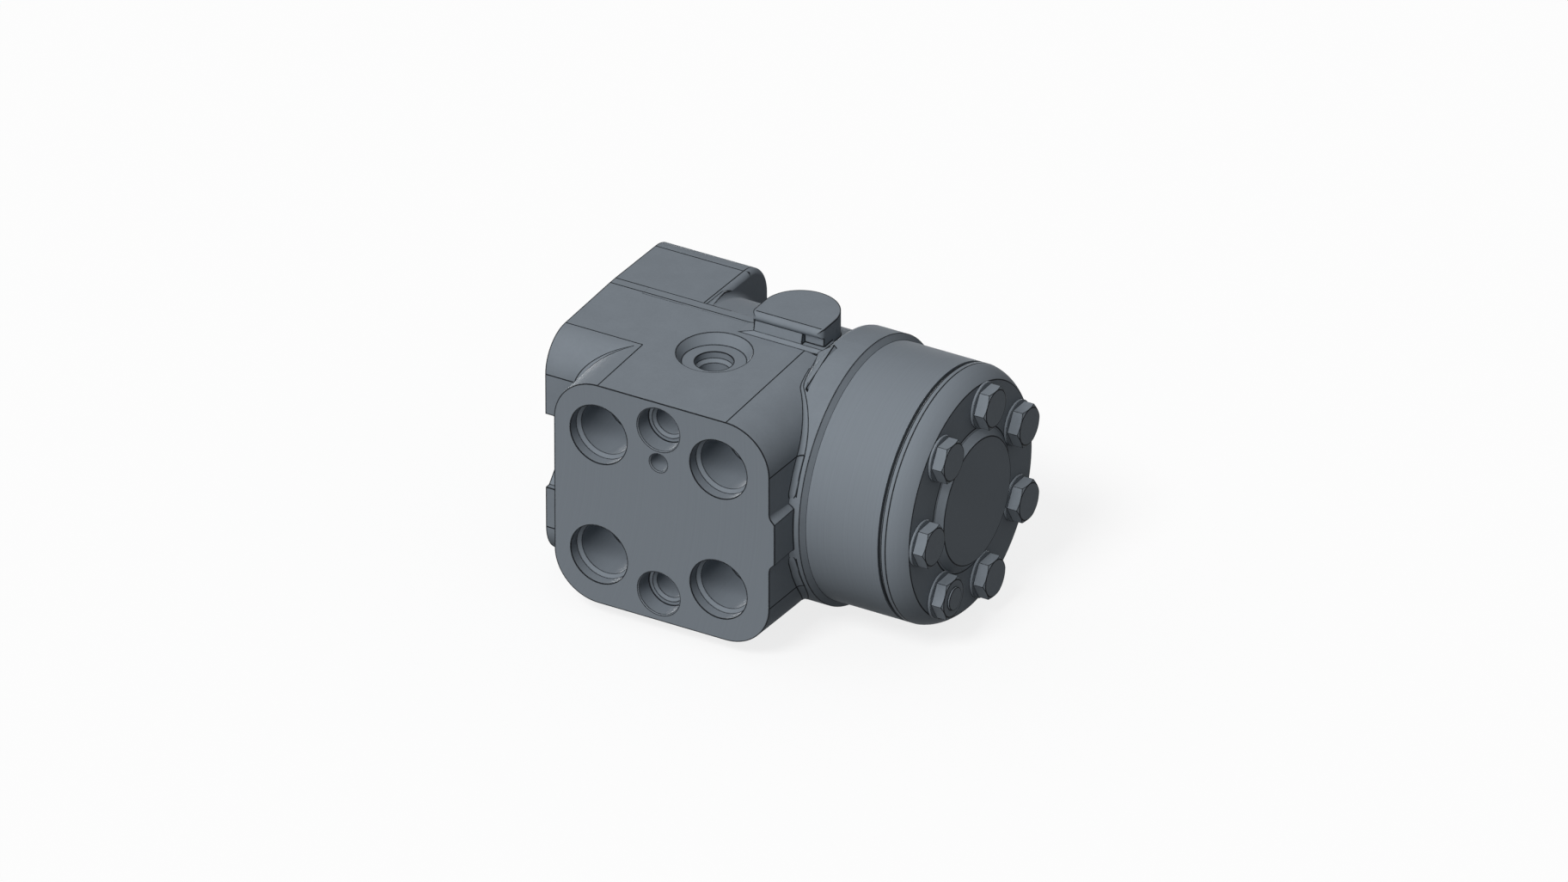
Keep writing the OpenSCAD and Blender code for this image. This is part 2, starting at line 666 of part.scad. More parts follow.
module sleeve() color([0.66, 0.67, 0.69]) {
    slot_half = spring_stack + 0.1;
    groove_r = sleeve_r - 1.2;
    ring_a = spring_x - ring_w / 2 - 0.2;
    ring_b = spring_x + ring_w / 2 + 0.2;
    difference() {
        turned(concat([[set_x, sleeve_bore_r], [set_x, sleeve_r - 0.5], [set_x + 0.5, sleeve_r],
            [ring_a, sleeve_r], [ring_a, ring_groove_r], [ring_b, ring_groove_r],
            [ring_b, sleeve_r]], [for (g = sleeve_grooves, p = [[g[0], sleeve_r], [g[0], groove_r],
                [g[1], groove_r], [g[1], sleeve_r]]) p],
            [[sleeve_end_x - 0.5, sleeve_r], [sleeve_end_x, sleeve_r - 0.5],
                [sleeve_end_x, sleeve_bore_r]]));
        translate([cross_pin_x, 0, -bore_r - past]) cylinder(h = 2 * (bore_r + past),
            r = cross_pin_r + lay_gap);
        along_x(spring_x - leaf_w / 2 - 0.2, leaf_w + 0.4)
            translate([-bore_r - past, -slot_half]) square([2 * (bore_r + past), 2 * slot_half]);
        for (i = [0:5], g = sleeve_grooves) rotate([i * 60, 0, 0])
            translate([(g[0] + g[1]) / 2, 0, 0]) cylinder(h = bore_r + past, r = 1.3);
        for (i = [0:11]) rotate([i * 30 + 15, 0, 0])
            translate([commutator_x, 0, 0]) cylinder(h = bore_r + past, r = 1.5);
    }
}

module cross_pin() color([0.75, 0.75, 0.77]) {
    half = sleeve_r - 0.25;
    translate([cross_pin_x, 0, -half]) rotate_extrude() polygon([[0, 0], [cross_pin_r - 0.5, 0],
        [cross_pin_r, 0.5], [cross_pin_r, 2 * half - 0.5], [cross_pin_r - 0.5, 2 * half],
        [0, 2 * half]]);
}

module retaining_ring() color([0.5, 0.5, 0.52]) {
    turned([[spring_x - ring_w / 2, ring_groove_r + lay_gap],
        [spring_x + ring_w / 2, ring_groove_r + lay_gap],
        [spring_x + ring_w / 2, sleeve_r - lay_gap], [spring_x - ring_w / 2, sleeve_r - lay_gap]]);
}

module flat_springs() color([0.35, 0.37, 0.42]) {
    for (side = [1, -1], i = [0, 1])
        translate([spring_x - leaf_w / 2, -spring_half, side * (spring_stack - i * (leaf_t
            + lay_gap) - leaf_t / 2) - leaf_t / 2]) cube([leaf_w, 2 * spring_half, leaf_t]);
}

// Two bowed leaves back to back between the flat ones
module arched_springs() color([0.35, 0.37, 0.42]) {
    steps = 12;
    end_z = spring_stack - 2 * (leaf_t + lay_gap) - leaf_t - lay_gap;
    low_z = lay_gap / 2;
    bow = [for (i = [0:steps]) let (s = i / steps * 2 - 1)
        [spring_half * s, low_z + (end_z - low_z) * s * s]];
    for (side = [0, 1]) mirror([0, 0, side]) along_x(spring_x - leaf_w / 2, leaf_w)
        polygon(concat(bow, [for (i = [steps:-1:0]) bow[i] + [0, leaf_t / 2]]));
}

// The cardan shaft: a fork on the cross pin, a slim shank and a splined head in the rotor
module cardan_shaft() color([0.55, 0.56, 0.58]) {
    fork_r = 8.5;
    head = 4;
    translate([cross_pin_x, 0, 0]) rotate([0, 0, -cardan_tilt]) {
        difference() {
            turned([[-8, 0], [-8, fork_r - 1.5], [-6.5, fork_r], [9, fork_r], [12, cardan_r],
                [cardan_len - head - 4, cardan_r], [cardan_len - head - 2, drive_root_r - 0.6],
                [cardan_len + head - 2, drive_root_r - 0.6], [cardan_len + head - 1, 6],
                [cardan_len + head - 1, 0]]);
            translate([-8 - past, -cross_pin_r - 0.15, -fork_r - past])
                cube([8 + past + cross_pin_r + 1, 2 * (cross_pin_r + 0.15), 2 * (fork_r + past)]);
        }
        intersection() {
            along_x(cardan_len - head, 2 * head - 1.2) union() {
                circle(drive_root_r);
                for (i = [0:spline_teeth - 1]) rotate(i * 360 / spline_teeth)
                    tooth(drive_root_r - 1, 1.6, drive_tip_r, 0.75);
            }
            turned([[cardan_len - head, 0], [cardan_len - head, drive_tip_r - 1.2],
                [cardan_len - head + 1.2, drive_tip_r - 0.2], [cardan_len - 0.6, drive_tip_r],
                [cardan_len + head - 2.4, drive_tip_r - 0.2],
                [cardan_len + head - 1.2, drive_tip_r - 1.2], [cardan_len + head - 1.2, 0]]);
        }
    }
}

// The round spacer between the cardan shaft and the cover, inside the rotor
module drive_spacer() color([0.6, 0.6, 0.62]) {
    translate([0, -orbit_r, 0])
        bar_x(cover_x - 0.1 - spacer_t, spacer_t, drive_root_r + drive_gap + 0.05);
}

// Screw holes through a plate of the gear set
module set_holes(x, len) {
    for (i = [0:lobes - 1]) at_screw(i) bar_x(x - past, len + 2 * past, screw_hole_r);
}

module distributor_plate() color([0.45, 0.48, 0.51]) {
    difference() {
        bar_x(plate_x, plate_t, set_r);
        bar_x(plate_x - past, plate_t + 2 * past, 11.5);
        set_holes(plate_x, plate_t);
        for (i = [0:lobes - 1]) at_screw(i + 0.5, oil_circle_r)
            bar_x(plate_x - past, plate_t + 2 * past, oil_hole_r + 0.2);
        o_groove(ring_x, 1);
    }
}

module gear_ring() color([0.45, 0.48, 0.51]) {
    root_r = lobe_circle_r + 2 * orbit_r - lobe_r + 0.15;
    difference() {
        along_x(ring_x, ring_t) difference() {
            circle(set_r);
            difference() {
                circle(root_r);
                for (i = [0:lobes - 1]) rotate(screw_angle(i))
                    translate([lobe_circle_r, 0]) circle(lobe_r);
            }
        }
        set_holes(ring_x, ring_t);
    }
}

// Point of the rotor's flank at parameter t: a trochoid about its centre, set in by the lobe
function trochoid(t) = [lobe_circle_r * cos(t) - orbit_r * cos(lobes * t),
    lobe_circle_r * sin(t) - orbit_r * sin(lobes * t)];
function along(t) = [-lobe_circle_r * sin(t) + lobes * orbit_r * sin(lobes * t),
    lobe_circle_r * cos(t) - lobes * orbit_r * cos(lobes * t)];
function flank(t) = let (d = along(t), n = [-d[1], d[0]] / norm(d))
    trochoid(t) + (lobe_r + mesh_gap) * n;

// Parameter of the flank at step angle u, closer together in the tooth gaps
function flank_step(u) = u - 0.6 / (lobes - 1) * sin((lobes - 1) * u) * 180 / PI;

module rotor() color([0.58, 0.6, 0.62]) {
    points = 240;
    translate([0, -orbit_r, 0]) along_x(ring_x + lay_gap, ring_t - 2 * lay_gap) rotate(180)
        difference() {
            polygon([for (i = [0:points - 1]) flank(flank_step(i * 360 / points))]);
            splined_hole(drive_root_r + drive_gap + 0.15, drive_tip_r + drive_gap + 0.1, 1.95, 1.15);
        }
}

module end_cover() color([0.43, 0.46, 0.49]) {
    neck = 0.65;
    edge_x = cover_x + 2.9;
    edge_deg = 9;
    rise = cover_face_x - edge_x;
    fall = set_r - cover_face_r;
    chord_deg = atan(fall / rise);
    half_deg = chord_deg - edge_deg;
    arc_r = norm([rise, fall]) / (2 * sin(half_deg));
    steps = 12;
    foot = 0.8;
    boss_x = cover_face_x + cover_boss_h;
    difference() {
        turned(concat([[cover_x, 0], [cover_x, set_r - neck], [cover_x + 0.7, set_r - neck],
            [cover_x + 1.3, set_r]],
            [for (i = [0:steps]) let (a = edge_deg + 2 * half_deg * i / steps)
                [edge_x + arc_r * (sin(a) - sin(edge_deg)),
                    set_r - arc_r * (cos(edge_deg) - cos(a))]],
            [[cover_face_x, cover_boss_r + cover_boss_h + foot],
                [cover_face_x + 0.3 * foot, cover_boss_r + cover_boss_h],
                [boss_x, cover_boss_r], [boss_x, 0]]));
        set_holes(cover_x, cover_t);
        o_groove(cover_x, -1);
    }
}

// One cover screw along the shaft, its head a hexagon with a chamfered top
module cover_screw(len) {
    corner_r = screw_af / 2 / cos(30);
    top_x = head_x + screw_head_h;
    bar_x(head_x - len, len + past, screw_r);
    intersection() {
        translate([head_x, 0, 0]) rotate([90, 0, 90])
            cylinder(h = screw_head_h, r = corner_r, $fn = 6);
        turned([[head_x - past, 0], [head_x - past, corner_r + past],
            [top_x - 0.6, corner_r + 0.18], [top_x, screw_af / 2 - 0.1], [top_x, 0]]);
    }
}

module cover_screws() color([0.5, 0.53, 0.56]) {
    for (i = [0:lobes - 1]) if (i != special_screw) at_screw(i) cover_screw(screw_len);
}

// The longer screw that holds a suction valve, marked by a round stub on its head
module special_screw() color([0.5, 0.53, 0.56]) {
    stub_h = 0.75;
    stub_r = screw_af / 2 - 2.55;
    at_screw(special_screw) {
        cover_screw(screw_len);
        bar_x(head_x + screw_head_h - past, past + stub_h, stub_r);
    }
}

module cover_washers() color([0.5, 0.53, 0.56]) {
    for (i = [0:lobes - 1]) at_screw(i) difference() {
        bar_x(cover_face_x, washer_t, washer_r);
        bar_x(cover_face_x - past, washer_t + 2 * past, screw_r + hole_gap);
    }
}

// One seal ring lying in its groove
module o_ring(x) {
    rotate([0, 90, 0]) translate([0, 0, x]) rotate_extrude()
        translate([o_ring_circle_r, 0]) circle(o_ring_r);
}

module plate_o_ring() color([0.1, 0.1, 0.11]) o_ring(housing_len - o_ring_r - lay_gap / 2);

module ring_o_ring() color([0.1, 0.1, 0.11]) o_ring(ring_x - o_ring_r - lay_gap / 2);

module cover_o_ring() color([0.1, 0.1, 0.11]) o_ring(cover_x + o_ring_r + lay_gap / 2);

// The pressed bushing that the check ball seats against, with its oil opening
module check_bushing() color([0.6, 0.6, 0.62]) {
    floor_y = -port_face_y + port_depth;
    translate([check_port_x, floor_y, check_port_z]) rotate([-90, 0, 0]) difference() {
        cylinder(h = check_bushing_t, r = check_chamber_r - lay_gap);
        translate([0, 0, -past]) cylinder(h = check_bushing_t + 2 * past, r = check_opening_r);
    }
}

module check_ball() color([0.8, 0.8, 0.82]) {
    depth = port_depth + check_bushing_t + check_ball_gap + check_ball_r;
    translate([check_port_x, -port_face_y + depth, check_port_z]) sphere(check_ball_r);
}

module suction_ball(i) {
    at_screw(i) translate([suction_ball_x, 0, 0]) sphere(suction_ball_r);
}

module upper_suction_ball() color([0.8, 0.8, 0.82]) suction_ball(plain_suction_screw);

module lower_suction_ball() color([0.8, 0.8, 0.82]) suction_ball(special_screw);

// The rolled pins that stop the suction balls
module suction_pins() color([0.55, 0.56, 0.58]) {
    for (i = [plain_suction_screw, special_screw]) at_screw(i) difference() {
        bar_x(suction_pin_x, screw_end_x - lay_gap - suction_pin_x, suction_pin_r);
        bar_x(suction_pin_x - past, screw_end_x - suction_pin_x + 2 * past, 1.5);
    }
}

housing();
dust_seal();
shaft_seal();
bearing_outer_race();
bearing_cage();
bearing_needles();
bearing_inner_race();
spool();
sleeve();
cross_pin();
retaining_ring();
flat_springs();
arched_springs();
cardan_shaft();
drive_spacer();
distributor_plate();
gear_ring();
rotor();
end_cover();
cover_screws();
special_screw();
cover_washers();
plate_o_ring();
ring_o_ring();
cover_o_ring();
check_bushing();
check_ball();
upper_suction_ball();
lower_suction_ball();
suction_pins();
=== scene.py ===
# %% [markdown]
# # A hydrostatic steering valve
# The valve is a cast iron housing with a ground spool and sleeve inside, and a gear set bolted
# behind it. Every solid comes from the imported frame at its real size. This file gives the solids
# their finish, makes anew the small pieces that repeat, adds the fillets of the casting, and sets
# the lamps and the camera.
#
# The frame is in metres. X runs along the shaft, the port face looks along -Y, and Z is up. Sizes
# are written in millimetres, as on a drawing, and made metres where they are used.

# %% Load the frame
import math

import bmesh
import bpy
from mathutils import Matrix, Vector


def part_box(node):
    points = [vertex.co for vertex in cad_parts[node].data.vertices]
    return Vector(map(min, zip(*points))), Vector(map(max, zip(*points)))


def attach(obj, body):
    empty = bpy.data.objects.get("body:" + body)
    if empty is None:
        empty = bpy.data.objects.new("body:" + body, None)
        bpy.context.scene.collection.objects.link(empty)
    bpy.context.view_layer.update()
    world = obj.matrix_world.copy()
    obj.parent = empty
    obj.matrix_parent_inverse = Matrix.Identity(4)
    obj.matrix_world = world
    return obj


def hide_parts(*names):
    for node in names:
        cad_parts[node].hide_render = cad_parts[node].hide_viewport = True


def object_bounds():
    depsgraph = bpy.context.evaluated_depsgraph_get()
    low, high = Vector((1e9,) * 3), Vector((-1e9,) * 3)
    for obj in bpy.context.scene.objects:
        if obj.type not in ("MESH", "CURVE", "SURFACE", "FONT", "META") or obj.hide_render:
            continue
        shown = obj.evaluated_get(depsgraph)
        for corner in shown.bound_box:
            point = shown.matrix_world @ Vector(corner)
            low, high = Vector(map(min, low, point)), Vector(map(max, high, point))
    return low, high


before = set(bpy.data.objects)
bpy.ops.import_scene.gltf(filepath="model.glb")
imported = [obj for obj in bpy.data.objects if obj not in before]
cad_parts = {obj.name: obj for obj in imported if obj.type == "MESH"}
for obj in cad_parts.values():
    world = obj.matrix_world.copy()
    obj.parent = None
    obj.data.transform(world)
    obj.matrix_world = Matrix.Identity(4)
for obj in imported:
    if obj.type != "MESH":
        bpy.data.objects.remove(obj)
cad_low, cad_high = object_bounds()
MM = 0.001

# %% [markdown]
# ## The camera
# The picture looks down at the valve from its port side and a little from the cover's end. Its
# edges stay parallel, so the camera stands far away behind a very long lens. A long lens keeps
# the perspective weak, and still lets other views of the valve be framed by distance.

# %% Place the camera
VIEW_AZIMUTH = math.radians(30)
VIEW_ELEVATION = math.radians(30)
VIEW_TARGET = Vector((65.8, 0, 1.6)) * MM
VIEW_WIDTH = 512.4 * MM
LENS = 600
SENSOR = 36
NEAREST_SEEN, FARTHEST_SEEN = 100 * MM, 100000 * MM


def direction_to(azimuth, elevation):
    """The unit vector from the target towards a camera or lamp."""
    flat = math.cos(elevation)
    return Vector((math.sin(azimuth) * flat, -math.cos(azimuth) * flat, math.sin(elevation)))


def place(name, data, location, back):
    """An object of that data that looks along minus back."""
    thing = bpy.data.objects.new(name, data)
    bpy.context.scene.collection.objects.link(thing)
    thing.location = location
    thing.rotation_mode = "QUATERNION"
    thing.rotation_quaternion = (-back).to_track_quat("-Z", "Y")
    return thing


camera_data = bpy.data.cameras.new("camera")
camera_data.lens = LENS
camera_data.sensor_width = SENSOR
camera_data.clip_start = NEAREST_SEEN
camera_data.clip_end = FARTHEST_SEEN
view_back = direction_to(VIEW_AZIMUTH, VIEW_ELEVATION)
view_distance = VIEW_WIDTH * LENS / SENSOR
bpy.context.scene.camera = place("camera", camera_data, VIEW_TARGET + view_back * view_distance,
                                 view_back)
print("camera distance:", round(view_distance, 3), "m")

# %% [markdown]
# ## Helpers for node trees
# The world, the finishes and the ring of screws are all node trees. A few helpers keep them
# short. Each one takes plain values and other nodes' outputs alike, so a sum reads almost as it
# would in plain Python.

# %% Add and join nodes
def feed(tree, slot, value):
    """Gives an input a plain value, or joins another node's output to it."""
    if isinstance(value, bpy.types.NodeSocket):
        tree.links.new(value, slot)
    else:
        slot.default_value = value


def add_node(tree, kind, **values):
    """A new node of a tree, with inputs given by name."""
    node = tree.nodes.new(kind)
    for name, value in values.items():
        feed(tree, node.inputs[name.replace("_", " ")], value)
    return node


def add_sum(tree, kind, operation, *values):
    """A new node of a kind that works out one operation."""
    node = tree.nodes.new(kind)
    node.operation = operation
    for slot, value in zip(node.inputs, values):
        feed(tree, slot, value)
    return node


def math_node(tree, operation, *values):
    """The result of a sum on numbers."""
    return add_sum(tree, "ShaderNodeMath", operation, *values).outputs[0]


def any_of(tree, masks):
    """1 where one of the masks is 1."""
    mask = masks[0]
    for other in masks[1:]:
        mask = math_node(tree, "MAXIMUM", mask, other)
    return mask


# %% [markdown]
# ## The background and the lamps
# The valve is seen on plain white, as in a catalogue. Strong lamps would wash the metal out, so
# the white is painted only for the rays that reach the camera, or that mirror and see-through
# surfaces send on. The floor is pale and catches the shadow.

# %% Set the sky
SKY_LEVEL = 0.24
WHITE = (1, 1, 1, 1)


def seen_directly(tree):
    """1 for rays from the camera and for glossy and see-through ones, and 0 for the rest."""
    path = tree.nodes.new("ShaderNodeLightPath").outputs
    return any_of(tree, [path["Is Camera Ray"], path["Is Glossy Ray"],
                         path["Is Transmission Ray"]])


def mix_shaders(tree, share, first, second, out):
    """Mixes two shaders by a share and joins the result to an output node."""
    mix = tree.nodes.new("ShaderNodeMixShader")
    for slot, value in zip(mix.inputs, [share, first, second]):
        feed(tree, slot, value)
    feed(tree, out.inputs["Surface"], mix.outputs[0])


def make_sky():
    """A dim even sky that shows as white."""
    world = bpy.data.worlds.new("sky")
    bpy.context.scene.world = world
    world.use_nodes = True
    tree = world.node_tree
    tree.nodes.clear()
    out = tree.nodes.new("ShaderNodeOutputWorld")
    dim = add_node(tree, "ShaderNodeBackground", Color=WHITE, Strength=SKY_LEVEL)
    white = add_node(tree, "ShaderNodeBackground", Color=WHITE, Strength=1)
    mix_shaders(tree, seen_directly(tree), dim.outputs[0], white.outputs[0], out)


make_sky()
bpy.context.scene.view_settings.view_transform = "Standard"
print("sky level:", SKY_LEVEL)

# %% Lay the floor
FLOOR_DROP = 0.2 * MM
FLOOR_HALF = 3000 * MM
FLOOR_PAPER = 0.96
FLOOR_BOUNCE = 0.22
FLOOR_SHOWN_WHITE = 0.62


def grey(level):
    """An even grey, as a colour socket takes it."""
    return (level, level, level, 1)


def mix_of(tree, kind, share, first, second):
    """What lies between two colours or two numbers."""
    mix = tree.nodes.new("ShaderNodeMix")
    mix.data_type = kind
    for name, value in [("Factor", share), ("A", first), ("B", second)]:
        feed(tree, mix.inputs[name], value)
    return mix.outputs["Result"]


def make_floor(z):
    """A wide pale floor just under the valve, which shows white with a soft shadow."""
    corners = [(-FLOOR_HALF, -FLOOR_HALF, z), (FLOOR_HALF, -FLOOR_HALF, z),
               (FLOOR_HALF, FLOOR_HALF, z), (-FLOOR_HALF, FLOOR_HALF, z)]
    mesh = bpy.data.meshes.new("floor")
    mesh.from_pydata(corners, [], [(0, 1, 2, 3)])
    floor = bpy.data.objects.new("floor", mesh)
    bpy.context.scene.collection.objects.link(floor)
    material = bpy.data.materials.new("floor_paper")
    material.use_nodes = True
    tree = material.node_tree
    tree.nodes.clear()
    out = tree.nodes.new("ShaderNodeOutputMaterial")
    seen = seen_directly(tree)
    tint = mix_of(tree, "RGBA", seen, grey(FLOOR_BOUNCE), grey(FLOOR_PAPER))
    paper = add_node(tree, "ShaderNodeBsdfDiffuse", Color=tint)
    glow = add_node(tree, "ShaderNodeEmission", Color=WHITE, Strength=1)
    share = math_node(tree, "MULTIPLY", seen, FLOOR_SHOWN_WHITE)
    mix_shaders(tree, share, paper.outputs[0], glow.outputs[0], out)
    mesh.materials.append(material)


floor_z = cad_low.z - FLOOR_DROP
make_floor(floor_z)
print("floor at", round(floor_z / MM, 2), "mm")

# %% [markdown]
# Faces that look up or towards the ports have nearly one brightness in the picture, and faces
# that look along the shaft are much darker. One soft lamp high above the port side gives that,
# with the dim sky for the rest. It is split into two lamps from the same side, and the stronger
# of them casts no shadow, so that the bores stay clear. A weaker lamp behind the valve keeps its
# far side readable.

# %% Hang the lamps
SUN_LEVEL = 3.1
SUN_SHADOWED_SHARE = 0.35
SUN_SPREAD = math.radians(20)
SUN_FROM = Vector((-0.04, -0.66, 0.75))
REAR_LEVEL = 1.5
REAR_FROM = Vector((-0.62, 0.76, -0.18))


def add_sun(name, level, source, casts=False):
    """A soft lamp that shines from one side, with or without a shadow."""
    data = bpy.data.lights.new(name, "SUN")
    data.energy = level
    data.angle = SUN_SPREAD
    data.use_shadow = casts
    place(name, data, source, source.normalized())


add_sun("sun", SUN_LEVEL * SUN_SHADOWED_SHARE, SUN_FROM, casts=True)
add_sun("fill", SUN_LEVEL * (1 - SUN_SHADOWED_SHARE), SUN_FROM)
add_sun("rear", REAR_LEVEL, REAR_FROM)
print("lamps:", len(bpy.data.lights))

# %% [markdown]
# ## Effects that the finishes share
# Each effect is a shader node group with named inputs, built once and used in several materials.
# A group gives only heights, tones and masks; the shader itself stays in each material.

# %% Build and use groups
def new_group(name, inputs, outputs):
    """A shader group with float inputs as (name, value), and float outputs by name."""
    group = bpy.data.node_groups.new(name, "ShaderNodeTree")
    for label, value in inputs:
        socket = group.interface.new_socket(name=label, in_out="INPUT",
                                            socket_type="NodeSocketFloat")
        socket.default_value = value
    for label in outputs:
        group.interface.new_socket(name=label, in_out="OUTPUT", socket_type="NodeSocketFloat")
    start = group.nodes.new("NodeGroupInput")
    end = group.nodes.new("NodeGroupOutput")
    return group, start.outputs, end.inputs


def use_group(tree, group, **values):
    """Places a group in a material with its own values."""
    node = tree.nodes.new("ShaderNodeGroup")
    node.node_tree = group
    for name, value in values.items():
        node.inputs[name].default_value = value
    return node.outputs


# %% [markdown]
# The first effect paints a thin dark line along every sharp edge, convex or hollow: painted shade
# along the edge. A Bevel node gives the normal that a slightly rounded edge would have. Where
# it leans away from the true normal, there is an edge.

# %% The painted edge shade
EDGE_SAMPLES = 16
LEAN_START, LEAN_FULL = 0.99, 0.968


def vector_node(tree, operation, *values):
    """The number that a sum on vectors gives."""
    return add_sum(tree, "ShaderNodeVectorMath", operation, *values).outputs["Value"]


def map_range(tree, value, low, high, to_low=0.0, to_high=1.0):
    """A value carried from one range to another and held inside it."""
    return add_node(tree, "ShaderNodeMapRange", Value=value, From_Min=low, From_Max=high,
                    To_Min=to_low, To_Max=to_high).outputs["Result"]


def make_painted_edge_shade():
    """Mask of 1 for the painted shade along sharp edges, over a band that grows with the width."""
    group, given, result = new_group("painted_edge_shade", [("Width", 1.3 * MM)], ["Mask"])
    bevel = add_node(group, "ShaderNodeBevel", Radius=given["Width"])
    bevel.samples = EDGE_SAMPLES
    true_normal = group.nodes.new("ShaderNodeNewGeometry").outputs["Normal"]
    lean = vector_node(group, "DOT_PRODUCT", bevel.outputs["Normal"], true_normal)
    feed(group, result["Mask"], map_range(group, lean, LEAN_START, LEAN_FULL))
    return group


painted_edge_shade = make_painted_edge_shade()
print("edge line:", len(painted_edge_shade.nodes), "nodes")

# %% [markdown]
# Cast iron keeps the print of the sand. Two sizes of noise make its height: a soft unevenness
# some eight millimetres wide, and a fine grain of one. The same noise gives a tone that shifts
# the colour.

# %% The sand grain
GRAIN_DETAIL, SWELL_DETAIL = 4, 2
GRAIN_HEIGHT, SWELL_HEIGHT = 1.0, 1.4
GRAIN_TONE, SWELL_TONE = 0.4, 0.6


def object_point(tree):
    """The place of a point on its piece."""
    return tree.nodes.new("ShaderNodeTexCoord").outputs["Object"]


def weighed_sum(tree, *terms):
    """The sum of two values, each times its weight."""
    shares = [math_node(tree, "MULTIPLY", value, weight) for value, weight in terms]
    return math_node(tree, "ADD", *shares)


def make_sand_grain():
    """Height and tone of a sand-cast skin."""
    group, given, result = new_group("sand_grain", [("Grain", 900), ("Swell", 120)],
                                     ["Height", "Tone"])
    point = object_point(group)
    grain, swell = [add_node(group, "ShaderNodeTexNoise", Vector=point, Scale=given[label],
                             Detail=detail).outputs["Fac"]
                    for label, detail in [("Grain", GRAIN_DETAIL), ("Swell", SWELL_DETAIL)]]
    height = weighed_sum(group, (grain, GRAIN_HEIGHT), (swell, SWELL_HEIGHT))
    tone = weighed_sum(group, (grain, GRAIN_TONE), (swell, SWELL_TONE))
    feed(group, result["Height"], height)
    feed(group, result["Tone"], tone)
    return group


sand_grain = make_sand_grain()
print("sand grain:", len(sand_grain.nodes), "nodes")

# %% [markdown]
# A lathe leaves fine rings. On a face across the shaft they are circles about the axis, and on a
# round side they are lines across it, so the rings follow the distance from the axis plus the
# place along it. A little noise breaks them up.

# %% The turning marks
WAVE_HEIGHT = 0.3
WANDER_SCALE, WANDER_DETAIL = 60, 3
WANDER_PUSH = 8
CHANGES_A_TURN, CHANGE_DETAIL = 0.7, 2
CHANGE_TONE, WANDER_TONE = 0.6, 0.4


def object_parts(tree):
    """The X, Y and Z of a point on its piece."""
    return add_node(tree, "ShaderNodeSeparateXYZ", Vector=object_point(tree)).outputs


def hypotenuse(tree, first, second):
    """The distance that two lengths at right angles make."""
    squares = [math_node(tree, "POWER", value, 2) for value in (first, second)]
    return math_node(tree, "SQRT", math_node(tree, "ADD", *squares))


def change_along(tree, run):
    """Noise along one number, which makes some rings stronger than others."""
    node = tree.nodes.new("ShaderNodeTexNoise")
    node.noise_dimensions = "1D"
    for name, value in [("W", run), ("Scale", 1), ("Detail", CHANGE_DETAIL)]:
        feed(tree, node.inputs[name], value)
    return node.outputs["Fac"]


def make_turning_marks():
    """Height and tone of a turned surface about the X axis."""
    group, given, result = new_group("turning_marks", [("Pitch", 0.5 * MM)], ["Height", "Tone"])
    x, y, z = object_parts(group)
    turns = math_node(group, "DIVIDE", math_node(group, "ADD", hypotenuse(group, y, z), x),
                      given["Pitch"])
    wander = add_node(group, "ShaderNodeTexNoise", Vector=object_point(group),
                      Scale=WANDER_SCALE, Detail=WANDER_DETAIL).outputs["Fac"]
    wave = math_node(group, "SINE", weighed_sum(group, (turns, 2 * math.pi),
                                                (wander, WANDER_PUSH)))
    change = change_along(group, math_node(group, "MULTIPLY", turns, CHANGES_A_TURN))
    feed(group, result["Height"], weighed_sum(group, (wave, WAVE_HEIGHT), (change, 1)))
    feed(group, result["Tone"], weighed_sum(group, (change, CHANGE_TONE), (wander, WANDER_TONE)))
    return group


turning_marks = make_turning_marks()
print("turning marks:", len(turning_marks.nodes), "nodes")

# %% [markdown]
# A face mill leaves shallow arcs on the port face, all parts of circles wider than the face. The
# arcs here are circles about a point far outside the block, which is how such a cutter moves.

# %% The milling marks
CUTTER_MIDDLE = Vector((-120, -58, 20)) * MM
CHANGE_RANGE = (0.2, 0.8)
MILLED_TONES = (0.42, 0.58)


def make_milling_marks():
    """Height and tone of a face milled across Y."""
    group, given, result = new_group("milling_marks", [("Pitch", 0.8 * MM)], ["Height", "Tone"])
    distance = vector_node(group, "DISTANCE", object_point(group), CUTTER_MIDDLE)
    turns = math_node(group, "DIVIDE", distance, given["Pitch"])
    wave = math_node(group, "SINE", math_node(group, "MULTIPLY", turns, 2 * math.pi))
    change = change_along(group, turns)
    feed(group, result["Height"], weighed_sum(group, (wave, WAVE_HEIGHT), (change, 1)))
    feed(group, result["Tone"], map_range(group, change, *CHANGE_RANGE, *MILLED_TONES))
    return group


milling_marks = make_milling_marks()
print("milling marks:", len(milling_marks.nodes), "nodes")

# %% [markdown]
# The casting is machined only where something fits: the port face, the ports and pockets, the
# spot face on top, the mounting face and the bores along the shaft. A mask from the place on the
# housing says which skin a point has.

# %% Tell where a point lies
def away(tree, value, middle):
    """How far a value is from a middle in millimetres."""
    return math_node(tree, "ABSOLUTE", math_node(tree, "SUBTRACT", value, middle * MM))


def below(tree, value, limit):
    """1 where a value is below a limit in millimetres."""
    return math_node(tree, "LESS_THAN", value, limit * MM)


def above(tree, value, limit):
    """1 where a value is above a limit in millimetres."""
    return math_node(tree, "GREATER_THAN", value, limit * MM)


def within(tree, across, along, centre, radius):
    """1 where a point lies inside a circle in the plane of two coordinates."""
    distance = hypotenuse(tree, away(tree, across, centre[0]), away(tree, along, centre[1]))
    return below(tree, distance, radius)


def all_of(tree, masks):
    """1 where all the masks are 1."""
    mask = masks[0]
    for other in masks[1:]:
        mask = math_node(tree, "MULTIPLY", mask, other)
    return mask


